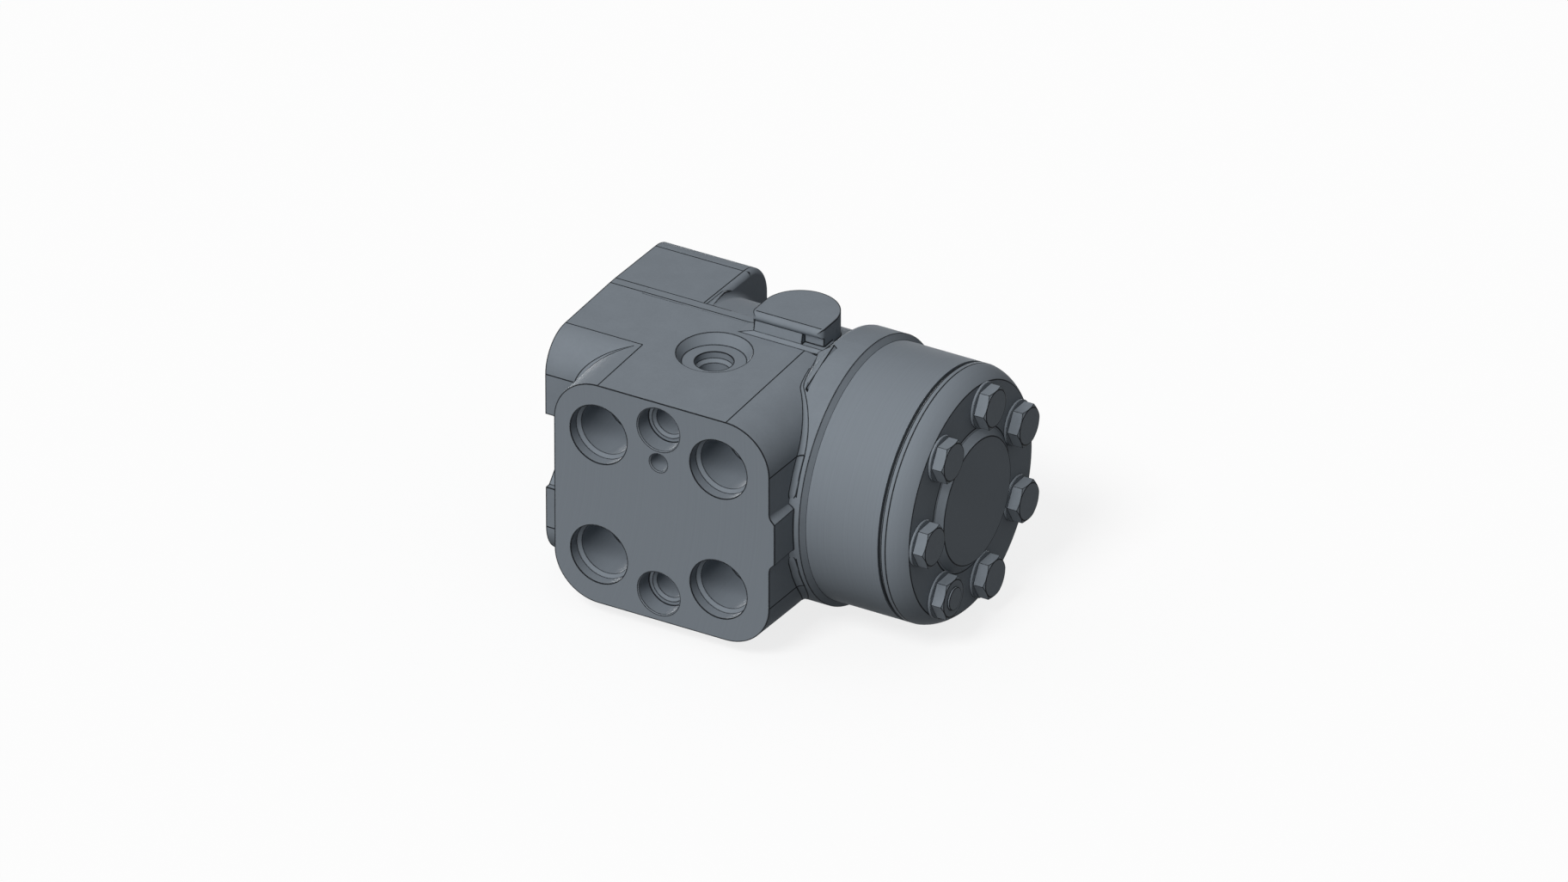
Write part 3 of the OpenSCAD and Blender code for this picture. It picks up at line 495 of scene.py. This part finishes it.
# %% The machined areas
PORT_FACE_Y = -58.1
REAR_FACE_X = 99.45
FACE_REACH = 0.02
PORT_MID_X = 52.2
PORT_HALF_PITCH, PORT_R = 22.53, 10.7
POCKET_Z, POCKET_R = 30.75, 8.2
PILOT_Z, PILOT_R = 18.4, 3.6
BLOCK_FROM_Y = -30
SENSING_Y, SENSING_R = -22, 13.3
SENSING_FROM_Z = 20
SHAFT_BORE_R = 20.1


def make_machined_areas():
    """Mask of the housing's machined faces."""
    group, _, result = new_group("machined_areas", [], ["Mask"])
    x, y, z = object_parts(group)
    from_mid = away(group, x, PORT_MID_X)
    height = away(group, z, 0)
    cuts = [within(group, from_mid, height, (PORT_HALF_PITCH, PORT_HALF_PITCH), PORT_R),
            within(group, from_mid, height, (0, POCKET_Z), POCKET_R),
            within(group, from_mid, z, (0, PILOT_Z), PILOT_R)]
    sensing = within(group, from_mid, y, (0, SENSING_Y), SENSING_R)
    areas = [below(group, y, PORT_FACE_Y + FACE_REACH),
             below(group, x, FACE_REACH),
             above(group, x, REAR_FACE_X),
             within(group, y, z, (0, 0), SHAFT_BORE_R),
             all_of(group, [below(group, y, BLOCK_FROM_Y), any_of(group, cuts)]),
             all_of(group, [above(group, z, SENSING_FROM_Z), sensing])]
    feed(group, result["Mask"], any_of(group, areas))
    return group


machined_areas = make_machined_areas()
print("machined areas:", len(machined_areas.nodes), "nodes")

# %% [markdown]
# The picture is drawn with a thin dark line wherever one face of the casting ends and the next
# begins, also where they run on from each other without a step. The Bevel node can't see those
# smooth joints, so each one is given in a short list: the axis that is fixed, its place, and the
# limits along the other axes. Where the axis is |Z|, the line is there above and below.

# %% The face lines
LINE_HALF = 0.24
FRONT_CORNER_X, REAR_CORNER_X, CORNER_Z = 29.3, 77.4, 24.5
FLANGE_CORNER_Y, FLANGE_CORNER_Z = -28.8, 28.7
FACE_LINES = [
    ("X", FRONT_CORNER_X, {"Y": (PORT_FACE_Y, -28.9), "Z": (39, 44)}),
    ("X", REAR_CORNER_X + 0.1, {"Y": (PORT_FACE_Y, -7), "Z": (39, 44)}),
    ("|Z|", CORNER_Z, {"X": (93, 96), "Y": (PORT_FACE_Y, -30)}),
    ("X", 96.2, {"Y": (-46.5, -38), "|Z|": (11.5, CORNER_Z)}),
    ("Y", 0, {"X": (0.2, 56), "Z": (41, 43.5)}),
    ("Y", 3.5, {"X": (0.2, 44), "Z": (41, 43.5)}),
    ("Y", FLANGE_CORNER_Y, {"X": (0.2, FRONT_CORNER_X), "Z": (39, 44)}),
    ("|Z|", FLANGE_CORNER_Z, {"X": (0.2, 13), "Y": (-42.5, -41)}),
    ("Y", -3.6, {"X": (57.4, 82.0), "Z": (49.9, 50.3)}),
    ("Y", 29.5, {"X": (0.2, 33.5), "Z": (40, 43)}),
    ("X", 33.5, {"Y": (3.5, 42.5), "Z": (36, 43)}),
]


def make_face_lines():
    """Mask of the thin lines between the casting's faces."""
    group, _, result = new_group("face_lines", [], ["Mask"])
    x, y, z = object_parts(group)
    axes = {"X": x, "Y": y, "Z": z, "|Z|": away(group, z, 0)}
    lines = []
    for axis, value, limits in FACE_LINES:
        tests = [below(group, away(group, axes[axis], value), LINE_HALF)]
        for other, (low, high) in limits.items():
            tests += [above(group, axes[other], low), below(group, axes[other], high)]
        lines.append(all_of(group, tests))
    feed(group, result["Mask"], any_of(group, lines))
    return group


face_lines = make_face_lines()
print("face lines:", len(FACE_LINES))

# %% [markdown]
# The cover and the screw heads are turned, so their lines are circles. A circle is given by its
# place along the shaft and its radius. On the heads it runs about the nearest screw, and the
# nearest one is found by folding the turn about the shaft into one seventh of a circle.

# %% The turned lines
COVER_SCREWS = 7
SCREW_CIRCLE_R = 32.72
COVER_LINES = [(126.4, 43.42), (126.75, 43.42), (127.5, 44.07), (129.1, 44.07), (136.0, 40.3),
               (136.0, 25.2), (138.5, 21.9)]
HEAD_LINES = [(141.3, 6.4), (142.05, 3.95)]


def make_turned_lines(name, rings, middle_r):
    """Mask of thin circles about the shaft, or about screws that stand at a distance from it."""
    group, _, result = new_group(name, [], ["Mask"])
    x, y, z = object_parts(group)
    radius = hypotenuse(group, y, z)
    seventh = 2 * math.pi / COVER_SCREWS
    turn = math_node(group, "ADD", math_node(group, "ARCTAN2", z, y), math.pi + seventh / 2)
    folded = math_node(group, "SUBTRACT", math_node(group, "FLOORED_MODULO", turn, seventh),
                       seventh / 2)
    out = math_node(group, "MULTIPLY", radius, math_node(group, "COSINE", folded))
    side = math_node(group, "MULTIPLY", radius, math_node(group, "SINE", folded))
    from_middle = hypotenuse(group, away(group, out, middle_r), side)
    circles = [within(group, x, from_middle, ring, LINE_HALF) for ring in rings]
    feed(group, result["Mask"], any_of(group, circles))
    return group


cover_lines = make_turned_lines("cover_lines", COVER_LINES, 0)
head_lines = make_turned_lines("head_lines", HEAD_LINES, SCREW_CIRCLE_R)
print("circles on the cover:", len(COVER_LINES), "and on each head:", len(HEAD_LINES))

# %% [markdown]
# ## The finishes
# The outside of the valve has one blue-grey tone, from the casting to the screws. The ground
# steel, the brass cage and the rubber inside keep their own. Each finish could be built node by
# node, but they share one build, so one function makes them all. A finish is a colour and one or
# two layers. A layer is an effect with its values, the depth of its marks, and its roughness. A
# second layer covers the first where a mask says so.

# %% Build a finish
TONE_RANGE = (0.3, 0.7)
LINE_STRENGTH = 0.95
LINE_SHADE = 0.07


def linear(red, green, blue):
    """A display colour of 0 to 255 as the linear colour that a shader takes."""
    def one(value):
        value /= 255
        return value / 12.92 if value <= 0.04045 else ((value + 0.055) / 1.055) ** 2.4
    return (one(red), one(green), one(blue), 1)


def scaled(colour, factor):
    """A linear colour made lighter or darker."""
    return tuple(part * factor for part in colour[:3]) + (1,)


def add_layer(tree, effect, values, depth, roughness, uneven):
    """Tone, roughness and height in metres of one layer."""
    marks = use_group(tree, effect, **values)
    return [map_range(tree, marks["Tone"], *TONE_RANGE),
            map_range(tree, marks["Tone"], *TONE_RANGE, roughness - uneven, roughness + uneven),
            math_node(tree, "MULTIPLY", marks["Height"], depth)]


def make_finish(name, colour, layer, over=None, area=None, spread=0.05, metallic=0.0,
                specular=0.01, drawn=None, edge_shade_width=0.9 * MM):
    """A material whose colour, roughness and height follow its layers, with drawn lines and
    painted edge shade or not.
    """
    material = bpy.data.materials.new(name)
    material.use_nodes = True
    tree = material.node_tree
    shader = tree.nodes["Principled BSDF"]
    shader.inputs["Metallic"].default_value = metallic
    shader.inputs["Specular IOR Level"].default_value = specular
    tone, rough, height = add_layer(tree, **layer)
    if over:
        mask = use_group(tree, area)["Mask"]
        tone, rough, height = [mix_of(tree, "FLOAT", mask, first, second) for first, second
                               in zip([tone, rough, height], add_layer(tree, **over))]
    base = mix_of(tree, "RGBA", tone, scaled(colour, 1 - spread), scaled(colour, 1 + spread))
    # The dark lines are painted shade along the sharp edges, joined with the drawn lines of the
    # faces.
    if drawn:
        lines = any_of(tree, [use_group(tree, painted_edge_shade, Width=edge_shade_width)["Mask"],
                              use_group(tree, drawn)["Mask"]])
        base = mix_of(tree, "RGBA", math_node(tree, "MULTIPLY", lines, LINE_STRENGTH), base,
                      scaled(colour, LINE_SHADE))
    bump = add_node(tree, "ShaderNodeBump", Distance=1, Strength=1, Height=height)
    feed(tree, shader.inputs["Base Color"], base)
    feed(tree, shader.inputs["Roughness"], rough)
    feed(tree, shader.inputs["Normal"], bump.outputs["Normal"])
    return material


# %% Set the layers
cast_layer = dict(effect=sand_grain, values={"Grain": 900, "Swell": 120}, depth=0.02 * MM,
                  roughness=0.62, uneven=0.08)
milled_layer = dict(effect=milling_marks, values={"Pitch": 0.8 * MM}, depth=0.003 * MM,
                    roughness=0.5, uneven=0.06)
turned_layer = dict(effect=turning_marks, values={"Pitch": 0.45 * MM}, depth=0.003 * MM,
                    roughness=0.5, uneven=0.06)
forged_layer = dict(effect=sand_grain, values={"Grain": 2500, "Swell": 400}, depth=0.003 * MM,
                    roughness=0.45, uneven=0.06)
ground_layer = dict(effect=turning_marks, values={"Pitch": 0.2 * MM}, depth=0.002 * MM,
                    roughness=0.25, uneven=0.05)
rolled_layer = dict(effect=sand_grain, values={"Grain": 3000, "Swell": 300}, depth=0.002 * MM,
                    roughness=0.32, uneven=0.06)
moulded_layer = dict(effect=sand_grain, values={"Grain": 3500, "Swell": 300}, depth=0.006 * MM,
                     roughness=0.6, uneven=0.08)
print("the deepest marks are the casting's:", round(cast_layer["depth"] / MM, 3), "mm")

# %% Make all the finishes
BLUE_GREY = linear(114, 121, 128)
BARE_METAL = dict(metallic=0.9, specular=0.5)

cast_iron = make_finish("cast_iron", BLUE_GREY, cast_layer, milled_layer, machined_areas,
                        drawn=face_lines)
turned_iron = make_finish("turned_iron", BLUE_GREY, turned_layer, spread=0.03)
turned_cover = make_finish("turned_cover", BLUE_GREY, turned_layer, spread=0.03,
                           drawn=cover_lines, edge_shade_width=0.8 * MM)
screw_steel = make_finish("screw_steel", BLUE_GREY, forged_layer, drawn=head_lines,
                          edge_shade_width=0.55 * MM)
ground_steel = make_finish("ground_steel", linear(168, 172, 176), ground_layer, **BARE_METAL)
spring_steel = make_finish("spring_steel", linear(82, 88, 104), rolled_layer, **BARE_METAL)
cage_brass = make_finish("cage_brass", linear(178, 146, 84), rolled_layer, **BARE_METAL)
seal_rubber = make_finish("seal_rubber", linear(34, 34, 36), moulded_layer, spread=0.15,
                          specular=0.3)
print("materials:", ", ".join(sorted(material.name for material in bpy.data.materials)))

# %% Dress the solids
FINISHES = {
    cast_iron: ["housing"],
    turned_iron: ["distributor_plate", "gear_ring"],
    turned_cover: ["end_cover"],
    screw_steel: ["cover_screws", "special_screw", "cover_washers"],
    ground_steel: ["bearing_outer_race", "bearing_needles", "bearing_inner_race", "spool",
                   "sleeve", "cross_pin", "cardan_shaft", "drive_spacer", "rotor",
                   "check_bushing", "check_ball", "upper_suction_ball", "lower_suction_ball",
                   "suction_pins"],
    spring_steel: ["retaining_ring", "flat_springs", "arched_springs"],
    cage_brass: ["bearing_cage"],
    seal_rubber: ["dust_seal", "shaft_seal", "plate_o_ring", "ring_o_ring", "cover_o_ring"],
}

for finish, names in FINISHES.items():
    for node_name in names:
        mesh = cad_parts[node_name].data
        mesh.materials.clear()
        mesh.materials.append(finish)
undressed = set(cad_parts) - {name for names in FINISHES.values() for name in names}
print("finishes:", len(FINISHES), "nodes without one:", sorted(undressed))

# %% [markdown]
# ## Pieces that stand in a ring
# Screws, washers and bearing needles are the same piece repeated about the shaft. They could be
# copied one by one in a loop. Here one Geometry Nodes tree places them all, so that a count or a
# radius is one input. It sets points on a circle, puts a copy of one part on each point, and
# stands the ring across the shaft. Its inputs say how many there are, which of the places to
# fill, and whether each copy turns with its place, as needles do, or keeps one direction, as the
# screws in the picture do.
#
# The part itself is drawn along its own Z axis, with Z as the direction of the shaft.

# %% The tree that fills a ring
RING_INPUTS = [("Part", "NodeSocketObject"), ("Finish", "NodeSocketMaterial"),
               ("Count", "NodeSocketInt"), ("Radius", "NodeSocketFloat"),
               ("Start", "NodeSocketFloat"), ("Along", "NodeSocketFloat"),
               ("Turned", "NodeSocketFloat"), ("Pick", "NodeSocketInt"),
               ("Others", "NodeSocketBool")]
STAND_UP = (math.pi / 2, 0, math.pi / 2)


def picked_places(tree, index, given):
    """True at the picked place, or with Others at all the other places."""
    picked = tree.nodes.new("FunctionNodeCompare")
    picked.data_type = "INT"
    picked.operation = "EQUAL"
    whole_numbers = [slot for slot in picked.inputs if slot.type == "INT"]
    for slot, value in zip(whole_numbers, [index, given["Pick"]]):
        feed(tree, slot, value)
    return add_sum(tree, "FunctionNodeBooleanMath", "XOR", picked.outputs[0],
                   given["Others"]).outputs[0]


def make_ring_tree():
    """Copies of a part on a circle about the X axis, at a distance along it."""
    tree = bpy.data.node_groups.new("ring_of_parts", "GeometryNodeTree")
    for name, kind in RING_INPUTS:
        tree.interface.new_socket(name=name, in_out="INPUT", socket_type=kind)
    tree.interface.new_socket(name="Geometry", in_out="OUTPUT",
                              socket_type="NodeSocketGeometry")
    given = tree.nodes.new("NodeGroupInput").outputs
    index = tree.nodes.new("GeometryNodeInputIndex").outputs[0]
    step = math_node(tree, "DIVIDE", 2 * math.pi, given["Count"])
    angle = math_node(tree, "ADD", math_node(tree, "MULTIPLY", index, step), given["Start"])
    across, up = [math_node(tree, "MULTIPLY", math_node(tree, side, angle), given["Radius"])
                  for side in ("COSINE", "SINE")]
    at = add_node(tree, "ShaderNodeCombineXYZ", X=across, Y=up)
    turn = add_node(tree, "ShaderNodeCombineXYZ",
                    Z=math_node(tree, "MULTIPLY", angle, given["Turned"]))
    points = add_node(tree, "GeometryNodePoints", Count=given["Count"], Position=at.outputs[0])
    part = add_node(tree, "GeometryNodeObjectInfo", Object=given["Part"])
    copies = add_node(tree, "GeometryNodeInstanceOnPoints", Points=points.outputs[0],
                      Selection=picked_places(tree, index, given),
                      Instance=part.outputs["Geometry"], Rotation=turn.outputs[0])
    shift = add_node(tree, "ShaderNodeCombineXYZ", X=given["Along"])
    stood = add_node(tree, "GeometryNodeTransform", Geometry=copies.outputs[0],
                     Translation=shift.outputs[0], Rotation=STAND_UP)
    real = add_node(tree, "GeometryNodeRealizeInstances", Geometry=stood.outputs[0])
    painted = add_node(tree, "GeometryNodeSetMaterial", Geometry=real.outputs[0],
                       Material=given["Finish"])
    feed(tree, tree.nodes.new("NodeGroupOutput").inputs["Geometry"], painted.outputs[0])
    return tree


ring_tree = make_ring_tree()
ring_sockets = {item.name: item.identifier for item in ring_tree.interface.items_tree
                if item.in_out == "INPUT"}
print("inputs of the ring:", ", ".join(ring_sockets))


# %% Turn a filled ring into a plain piece
def ring_piece(name, node, body, slot, part, **values):
    """A mesh piece from the ring tree that stands for a CAD node."""
    carrier = bpy.data.objects.new(name + "_ring", bpy.data.meshes.new(name + "_ring"))
    bpy.context.scene.collection.objects.link(carrier)
    modifier = carrier.modifiers.new("ring", "NODES")
    modifier.node_group = ring_tree
    modifier[ring_sockets["Part"]] = part
    for label, value in values.items():
        modifier[ring_sockets[label]] = value
    ready = carrier.evaluated_get(bpy.context.evaluated_depsgraph_get())
    mesh = bpy.data.meshes.new_from_object(ready)
    bpy.data.objects.remove(carrier)
    piece = bpy.data.objects.new(name, mesh)
    bpy.context.scene.collection.objects.link(piece)
    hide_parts(node)
    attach(piece, body)
    print(name, "has", len(mesh.polygons), "faces")


# %% [markdown]
# ## The cover screws
# The heads are hexagons with a turned top. Where the turned cone meets the six flat sides it cuts
# a shallow arc out of each, high in the middle of a side and low at a corner. The arc comes from
# one rule: a point of the hexagon's outline drops as far as it lies outside the round top.
#
# The shank is a turned shape. So the head and the shank are one stack of rings of points that
# are joined by quads, and a fan closes each end.

# %% Build meshes from rings of points
SMOOTH_ANGLE = math.radians(12)


def mesh_from_rings(name, rings, closed_ends=True):
    """Quads between rings of the same number of points, each ring a list of (x, y, z)."""
    count = len(rings[0])
    points = [point for ring in rings for point in ring]
    last = len(rings) - 1
    faces = []
    for row in range(last if closed_ends else last + 1):
        next_row = (row + 1) % len(rings)
        for i in range(count):
            j = (i + 1) % count
            faces.append((row * count + i, row * count + j,
                          next_row * count + j, next_row * count + i))
    if closed_ends:
        for row, order in [(0, -1), (last, 1)]:
            points.append([sum(point[axis] for point in rings[row]) / count
                           for axis in range(3)])
            for i in range(count):
                pair = (row * count + i, row * count + (i + 1) % count)[::order]
                faces.append((*pair, len(points) - 1))
    mesh = bpy.data.meshes.new(name)
    mesh.from_pydata([tuple(value * MM for value in point) for point in points], [], faces)
    mesh.polygons.foreach_set("use_smooth", [True] * len(mesh.polygons))
    mesh.set_sharp_from_angle(angle=SMOOTH_ANGLE)
    thing = bpy.data.objects.new(name, mesh)
    bpy.context.scene.collection.objects.link(thing)
    return thing


def even_turns(count):
    """Angles that divide a full turn."""
    return [2 * math.pi * i / count for i in range(count)]


def circle_ring(radius, z, count):
    """A ring of points on a circle."""
    return [(radius * math.cos(turn), radius * math.sin(turn), z) for turn in even_turns(count)]


# %% Draw one screw
SCREW_AF = 13
SCREW_R = 4
SCREW_LEN = 57
TIP_CHAMFER = 0.7
HEAD_H = 4.2
HEAD_TOP_R = SCREW_AF / 2 - 0.1
HEAD_CORNER_R = SCREW_AF / 2 / math.cos(math.pi / 6)
CONE_DROP, CONE_PAST_CORNER = 0.6, 0.18
CONE_SLOPE = CONE_DROP / (HEAD_CORNER_R + CONE_PAST_CORNER - HEAD_TOP_R)
STUB_R, STUB_H, STUB_CHAMFER = 3.95, 0.75, 0.1
SIDE_STEPS = 12


def hexagon_radius(turn):
    """Distance from the middle to the hexagon's outline, with a corner at angle zero."""
    off_flat = (turn % (math.pi / 3)) - math.pi / 6
    return SCREW_AF / 2 / math.cos(off_flat)


def head_rings():
    """The head from its seat to its flat top."""
    turns = even_turns(6 * SIDE_STEPS)
    reach = [hexagon_radius(turn) for turn in turns]
    seat = [(r * math.cos(t), r * math.sin(t), 0) for r, t in zip(reach, turns)]
    arcs = [(x, y, HEAD_H - CONE_SLOPE * (r - HEAD_TOP_R)) for r, (x, y, _) in zip(reach, seat)]
    return [seat, arcs, circle_ring(HEAD_TOP_R, HEAD_H, len(turns))]


def draw_screw(name, has_stub):
    """A screw with its seat at height zero, and a round stub on the head if asked for."""
    shank = [(SCREW_R - TIP_CHAMFER, -SCREW_LEN), (SCREW_R, -SCREW_LEN + TIP_CHAMFER),
             (SCREW_R, 0)]
    stub = [(STUB_R, HEAD_H), (STUB_R, HEAD_H + STUB_H - STUB_CHAMFER),
            (STUB_R - STUB_CHAMFER, HEAD_H + STUB_H)] if has_stub else []
    shank_rings, stub_rings = [[circle_ring(radius, z, 6 * SIDE_STEPS) for radius, z in profile]
                               for profile in (shank, stub)]
    return mesh_from_rings(name, shank_rings + head_rings() + stub_rings)


screw = draw_screw("screw_part", has_stub=False)
marked_screw = draw_screw("marked_screw_part", has_stub=True)
print("screw", len(screw.data.vertices), "points; marked screw", len(marked_screw.data.vertices))

# %% Place the screws
SPECIAL = 1
seat_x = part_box("cover_screws")[1].x - HEAD_H * MM
screw_places = dict(Count=COVER_SCREWS, Radius=SCREW_CIRCLE_R * MM, Start=math.pi, Turned=0.0,
                    Finish=screw_steel)
ring_piece("cover_screws_turned", "cover_screws", "housing", "screw_steel", screw,
           Along=seat_x, Pick=SPECIAL, Others=True, **screw_places)
ring_piece("special_screw_turned", "special_screw", "housing", "screw_steel", marked_screw,
           Along=seat_x, Pick=SPECIAL, Others=False, **screw_places)

# %% [markdown]
# ## The washers
# Each washer is a stamped ring. Stamping leaves its upper edge slightly rounded, so its section
# is a rectangle with two small curved corners.

# %% Draw and place the washers
WASHER_R = 7.95
WASHER_HOLE_R = 4.3
WASHER_T = 1.1
WASHER_ROUND = 0.18
ROUND_STEPS = 3
WASHER_POINTS = 64
NO_PLACE = -1


def washer_section():
    """Points (radius, height) round the section of a washer."""
    points = [(WASHER_HOLE_R, 0), (WASHER_R, 0)]
    for middle, start in [(WASHER_R - WASHER_ROUND, 0), (WASHER_HOLE_R + WASHER_ROUND, 90)]:
        for i in range(ROUND_STEPS + 1):
            turn = math.radians(start + 90 * i / ROUND_STEPS)
            points.append((middle + WASHER_ROUND * math.cos(turn),
                           WASHER_T - WASHER_ROUND + WASHER_ROUND * math.sin(turn)))
    return points


washer_rings = [circle_ring(radius, z, WASHER_POINTS) for radius, z in washer_section()]
washer = mesh_from_rings("washer_part", washer_rings, closed_ends=False)
ring_piece("cover_washers_stamped", "cover_washers", "housing", "screw_steel", washer,
           Along=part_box("cover_washers")[0].x, Pick=NO_PLACE, Others=True, **screw_places)

# %% [markdown]
# ## The bearing needles
# The thrust bearing has 18 needles that lie flat between its races like the spokes of a wheel.
# Their ends are slightly domed. A needle is drawn along Z and then laid on its side, so that in
# the ring each one points away from the shaft.

# %% Draw and place the needles
NEEDLES = 18
NEEDLE_R = 1
NEEDLE_LEN = 3.7
NEEDLE_DOME = 0.25
DOME_BEND = 0.3 * NEEDLE_DOME
NEEDLE_POINTS = 24
needle_low, needle_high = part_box("bearing_needles")
needle_in = needle_high.z / MM - NEEDLE_LEN
needle_profile = [(NEEDLE_R - NEEDLE_DOME, 0), (NEEDLE_R - DOME_BEND, DOME_BEND),
                  (NEEDLE_R, NEEDLE_DOME)]
needle_profile += [(radius, NEEDLE_LEN - z) for radius, z in reversed(needle_profile)]
needle_rings = [[(needle_in + z, x, y) for x, y, z in circle_ring(radius, z, NEEDLE_POINTS)]
                for radius, z in needle_profile]
needle = mesh_from_rings("needle_part", needle_rings)
ring_piece("bearing_needles_domed", "bearing_needles", "needle_cage", "bright_steel", needle,
           Count=NEEDLES, Radius=0.0, Start=math.pi / 2,
           Along=(needle_low.x + needle_high.x) / 2, Turned=1.0, Pick=NO_PLACE, Others=True,
           Finish=ground_steel)
for part in [screw, marked_screw, washer, needle]:
    bpy.data.objects.remove(part)

# %% [markdown]
# ## The fillets of the casting
# Where the block's rounded corners run into the round body at the rear and into the column flange
# in front, the casting has a hollow fillet. A Bevel modifier can't pick these corners out of the
# housing's loose triangles, so the fillets are pieces of their own. The section of each is the
# arc of a ball that touches both skins as it rolls along the corner.
#
# The block has draft, so its corner grows wider the deeper the ball lies, and how deep it lies
# depends on where the corner is. A few rounds between the two settle the ball's place.

# %% Find where a ball touches
CORNER_R = 16.4
DRAFT = math.tan(math.radians(1.7))
BODY_R, RIM_R = 42.5, 46.2
SWELL_FROM, SWELL_TO = 82.7, 87.2
FLANGE_FRONT_Y = -41.8
FLANGE_CORNER_R = 13.0
FIRST_GUESS_Y = -30.0
ROUNDS = 12


def body_radius(x):
    """Radius of the round body at x, where it swells up to the rim."""
    share = min(max((x - SWELL_FROM) / (SWELL_TO - SWELL_FROM), 0), 1)
    return BODY_R + (RIM_R - BODY_R) * (1 - math.cos(share * math.pi)) / 2


def touch_body(x, z, size):
    """The y of a ball that touches the round body, and the body's normal there."""
    y = -math.sqrt((body_radius(x) + size) ** 2 - z * z)
    return y, Vector((0, y, z)).normalized()


def touch_flange(x, z, size):
    """The y of a ball that touches the flange's flat front or its rounded corner above it."""
    rise = z - FLANGE_CORNER_Z
    if rise < 0:
        return FLANGE_FRONT_Y - size, Vector((0, -1, 0))
    out = math.sqrt((FLANGE_CORNER_R + size) ** 2 - rise * rise)
    return FLANGE_CORNER_Y - out, Vector((0, -out, rise)).normalized()


def roll_ball(corner_x, touch, turn, low, size):
    """The middle of a ball at an angle about the corner or straight below it, and two normals."""
    y = FIRST_GUESS_Y
    for _ in range(ROUNDS):
        reach = CORNER_R + DRAFT * (y - PORT_FACE_Y) + size
        x = corner_x + reach * math.cos(turn)
        z = CORNER_Z + reach * math.sin(turn) - low
        y, other_normal = touch(x, z, size)
    block_normal = Vector((math.cos(turn), -DRAFT, math.sin(turn))).normalized()
    return Vector((x, y, z)), block_normal, other_normal


# %% [markdown]
# A ring of points round each arc makes a band, whose hidden side dips a little into the casting.
# Its foot below the corner runs out to nothing. The lower fillets mirror the upper ones.

# %% Add the fillets
FILLET_R = 2.0
FILLET_ARC_STEPS = 6
FILLET_STEPS = 32
FILLET_SINK = 0.5
FILLET_PROUD = 0.04
REAR_FOOT = [(13.9, 0.2), (13.6, 0.8), (13.0, 1.4), (12.2, 1.8), (11.2, 2.0), (5.0, 2.0)]
FRONT_FOOT = [(9.2, 0.2), (8.9, 0.8), (8.3, 1.4), (7.5, 1.8), (6.5, 2.0), (3.0, 2.0)]
REAR_TURNS = (0, math.radians(70))
FRONT_TURNS = (math.pi, math.radians(97))


def fillet_section(corner_x, touch, turn, low=0.0, size=FILLET_R):
    """Points round the fillet's section: the arc, and three points below the casting's skin."""
    middle, block_normal, other_normal = roll_ball(corner_x, touch, turn, low, size)
    middle = middle + FILLET_PROUD * (block_normal + other_normal)
    arc = [middle - size * block_normal.slerp(other_normal, i / FILLET_ARC_STEPS)
           for i in range(FILLET_ARC_STEPS + 1)]
    sunk = [arc[-1] - FILLET_SINK * other_normal,
            middle - (size + FILLET_SINK) * (block_normal + other_normal),
            arc[0] - FILLET_SINK * block_normal]
    return arc + sunk


def add_casting_piece(name, rings):
    """A closed piece of the casting that rides on the housing."""
    thing = mesh_from_rings(name, [[tuple(point) for point in ring] for ring in rings])
    fix = bmesh.new()
    fix.from_mesh(thing.data)
    bmesh.ops.recalc_face_normals(fix, faces=fix.faces)
    fix.to_mesh(thing.data)
    fix.free()
    thing.data.materials.append(cast_iron)
    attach(thing, "housing")


def add_fillets(place_name, corner_x, touch, foot, turns):
    """The upper and the lower fillet of one end of the block, each with a tapered foot."""
    start, end = turns
    upper = [fillet_section(corner_x, touch, start, low, size) for low, size in foot]
    upper += [fillet_section(corner_x, touch, start + (end - start) * i / FILLET_STEPS)
              for i in range(FILLET_STEPS + 1)]
    lower = [[Vector((point.x, point.y, -point.z)) for point in ring] for ring in upper]
    add_casting_piece("upper_" + place_name, upper)
    add_casting_piece("lower_" + place_name, lower)
    print(place_name, "from", [round(value, 1) for value in upper[0][0]], "to",
          [round(value, 1) for value in upper[-1][0]])


add_fillets("corner_fillet", REAR_CORNER_X, touch_body, REAR_FOOT, REAR_TURNS)
add_fillets("front_fillet", FRONT_CORNER_X, touch_flange, FRONT_FOOT, FRONT_TURNS)

# %% [markdown]
# At the top, the two drafted skins and the parting line meet in a small flat web between the
# block and the rim. It is a thin three-sided slab whose hidden side lies inside the casting.

# %% Add the web
WEB_CORNERS = [Vector((82.96, -6.64, 42.61)), Vector((88.57, -5.69, 46.55)),
               Vector((88.7, -25.0, 39.4))]
WEB_DEPTH = 4.0
WEB_CROWN = 0.8
web_sides = [corner - WEB_CORNERS[0] for corner in WEB_CORNERS[1:]]
web_normal = web_sides[0].cross(web_sides[1]).normalized()
if web_normal.z < 0:
    web_normal.negate()
add_casting_piece("corner_web", [[corner + rise * web_normal for corner in WEB_CORNERS]
                                 for rise in (-WEB_DEPTH, WEB_CROWN)])
print("the web looks along", [round(value, 2) for value in web_normal])
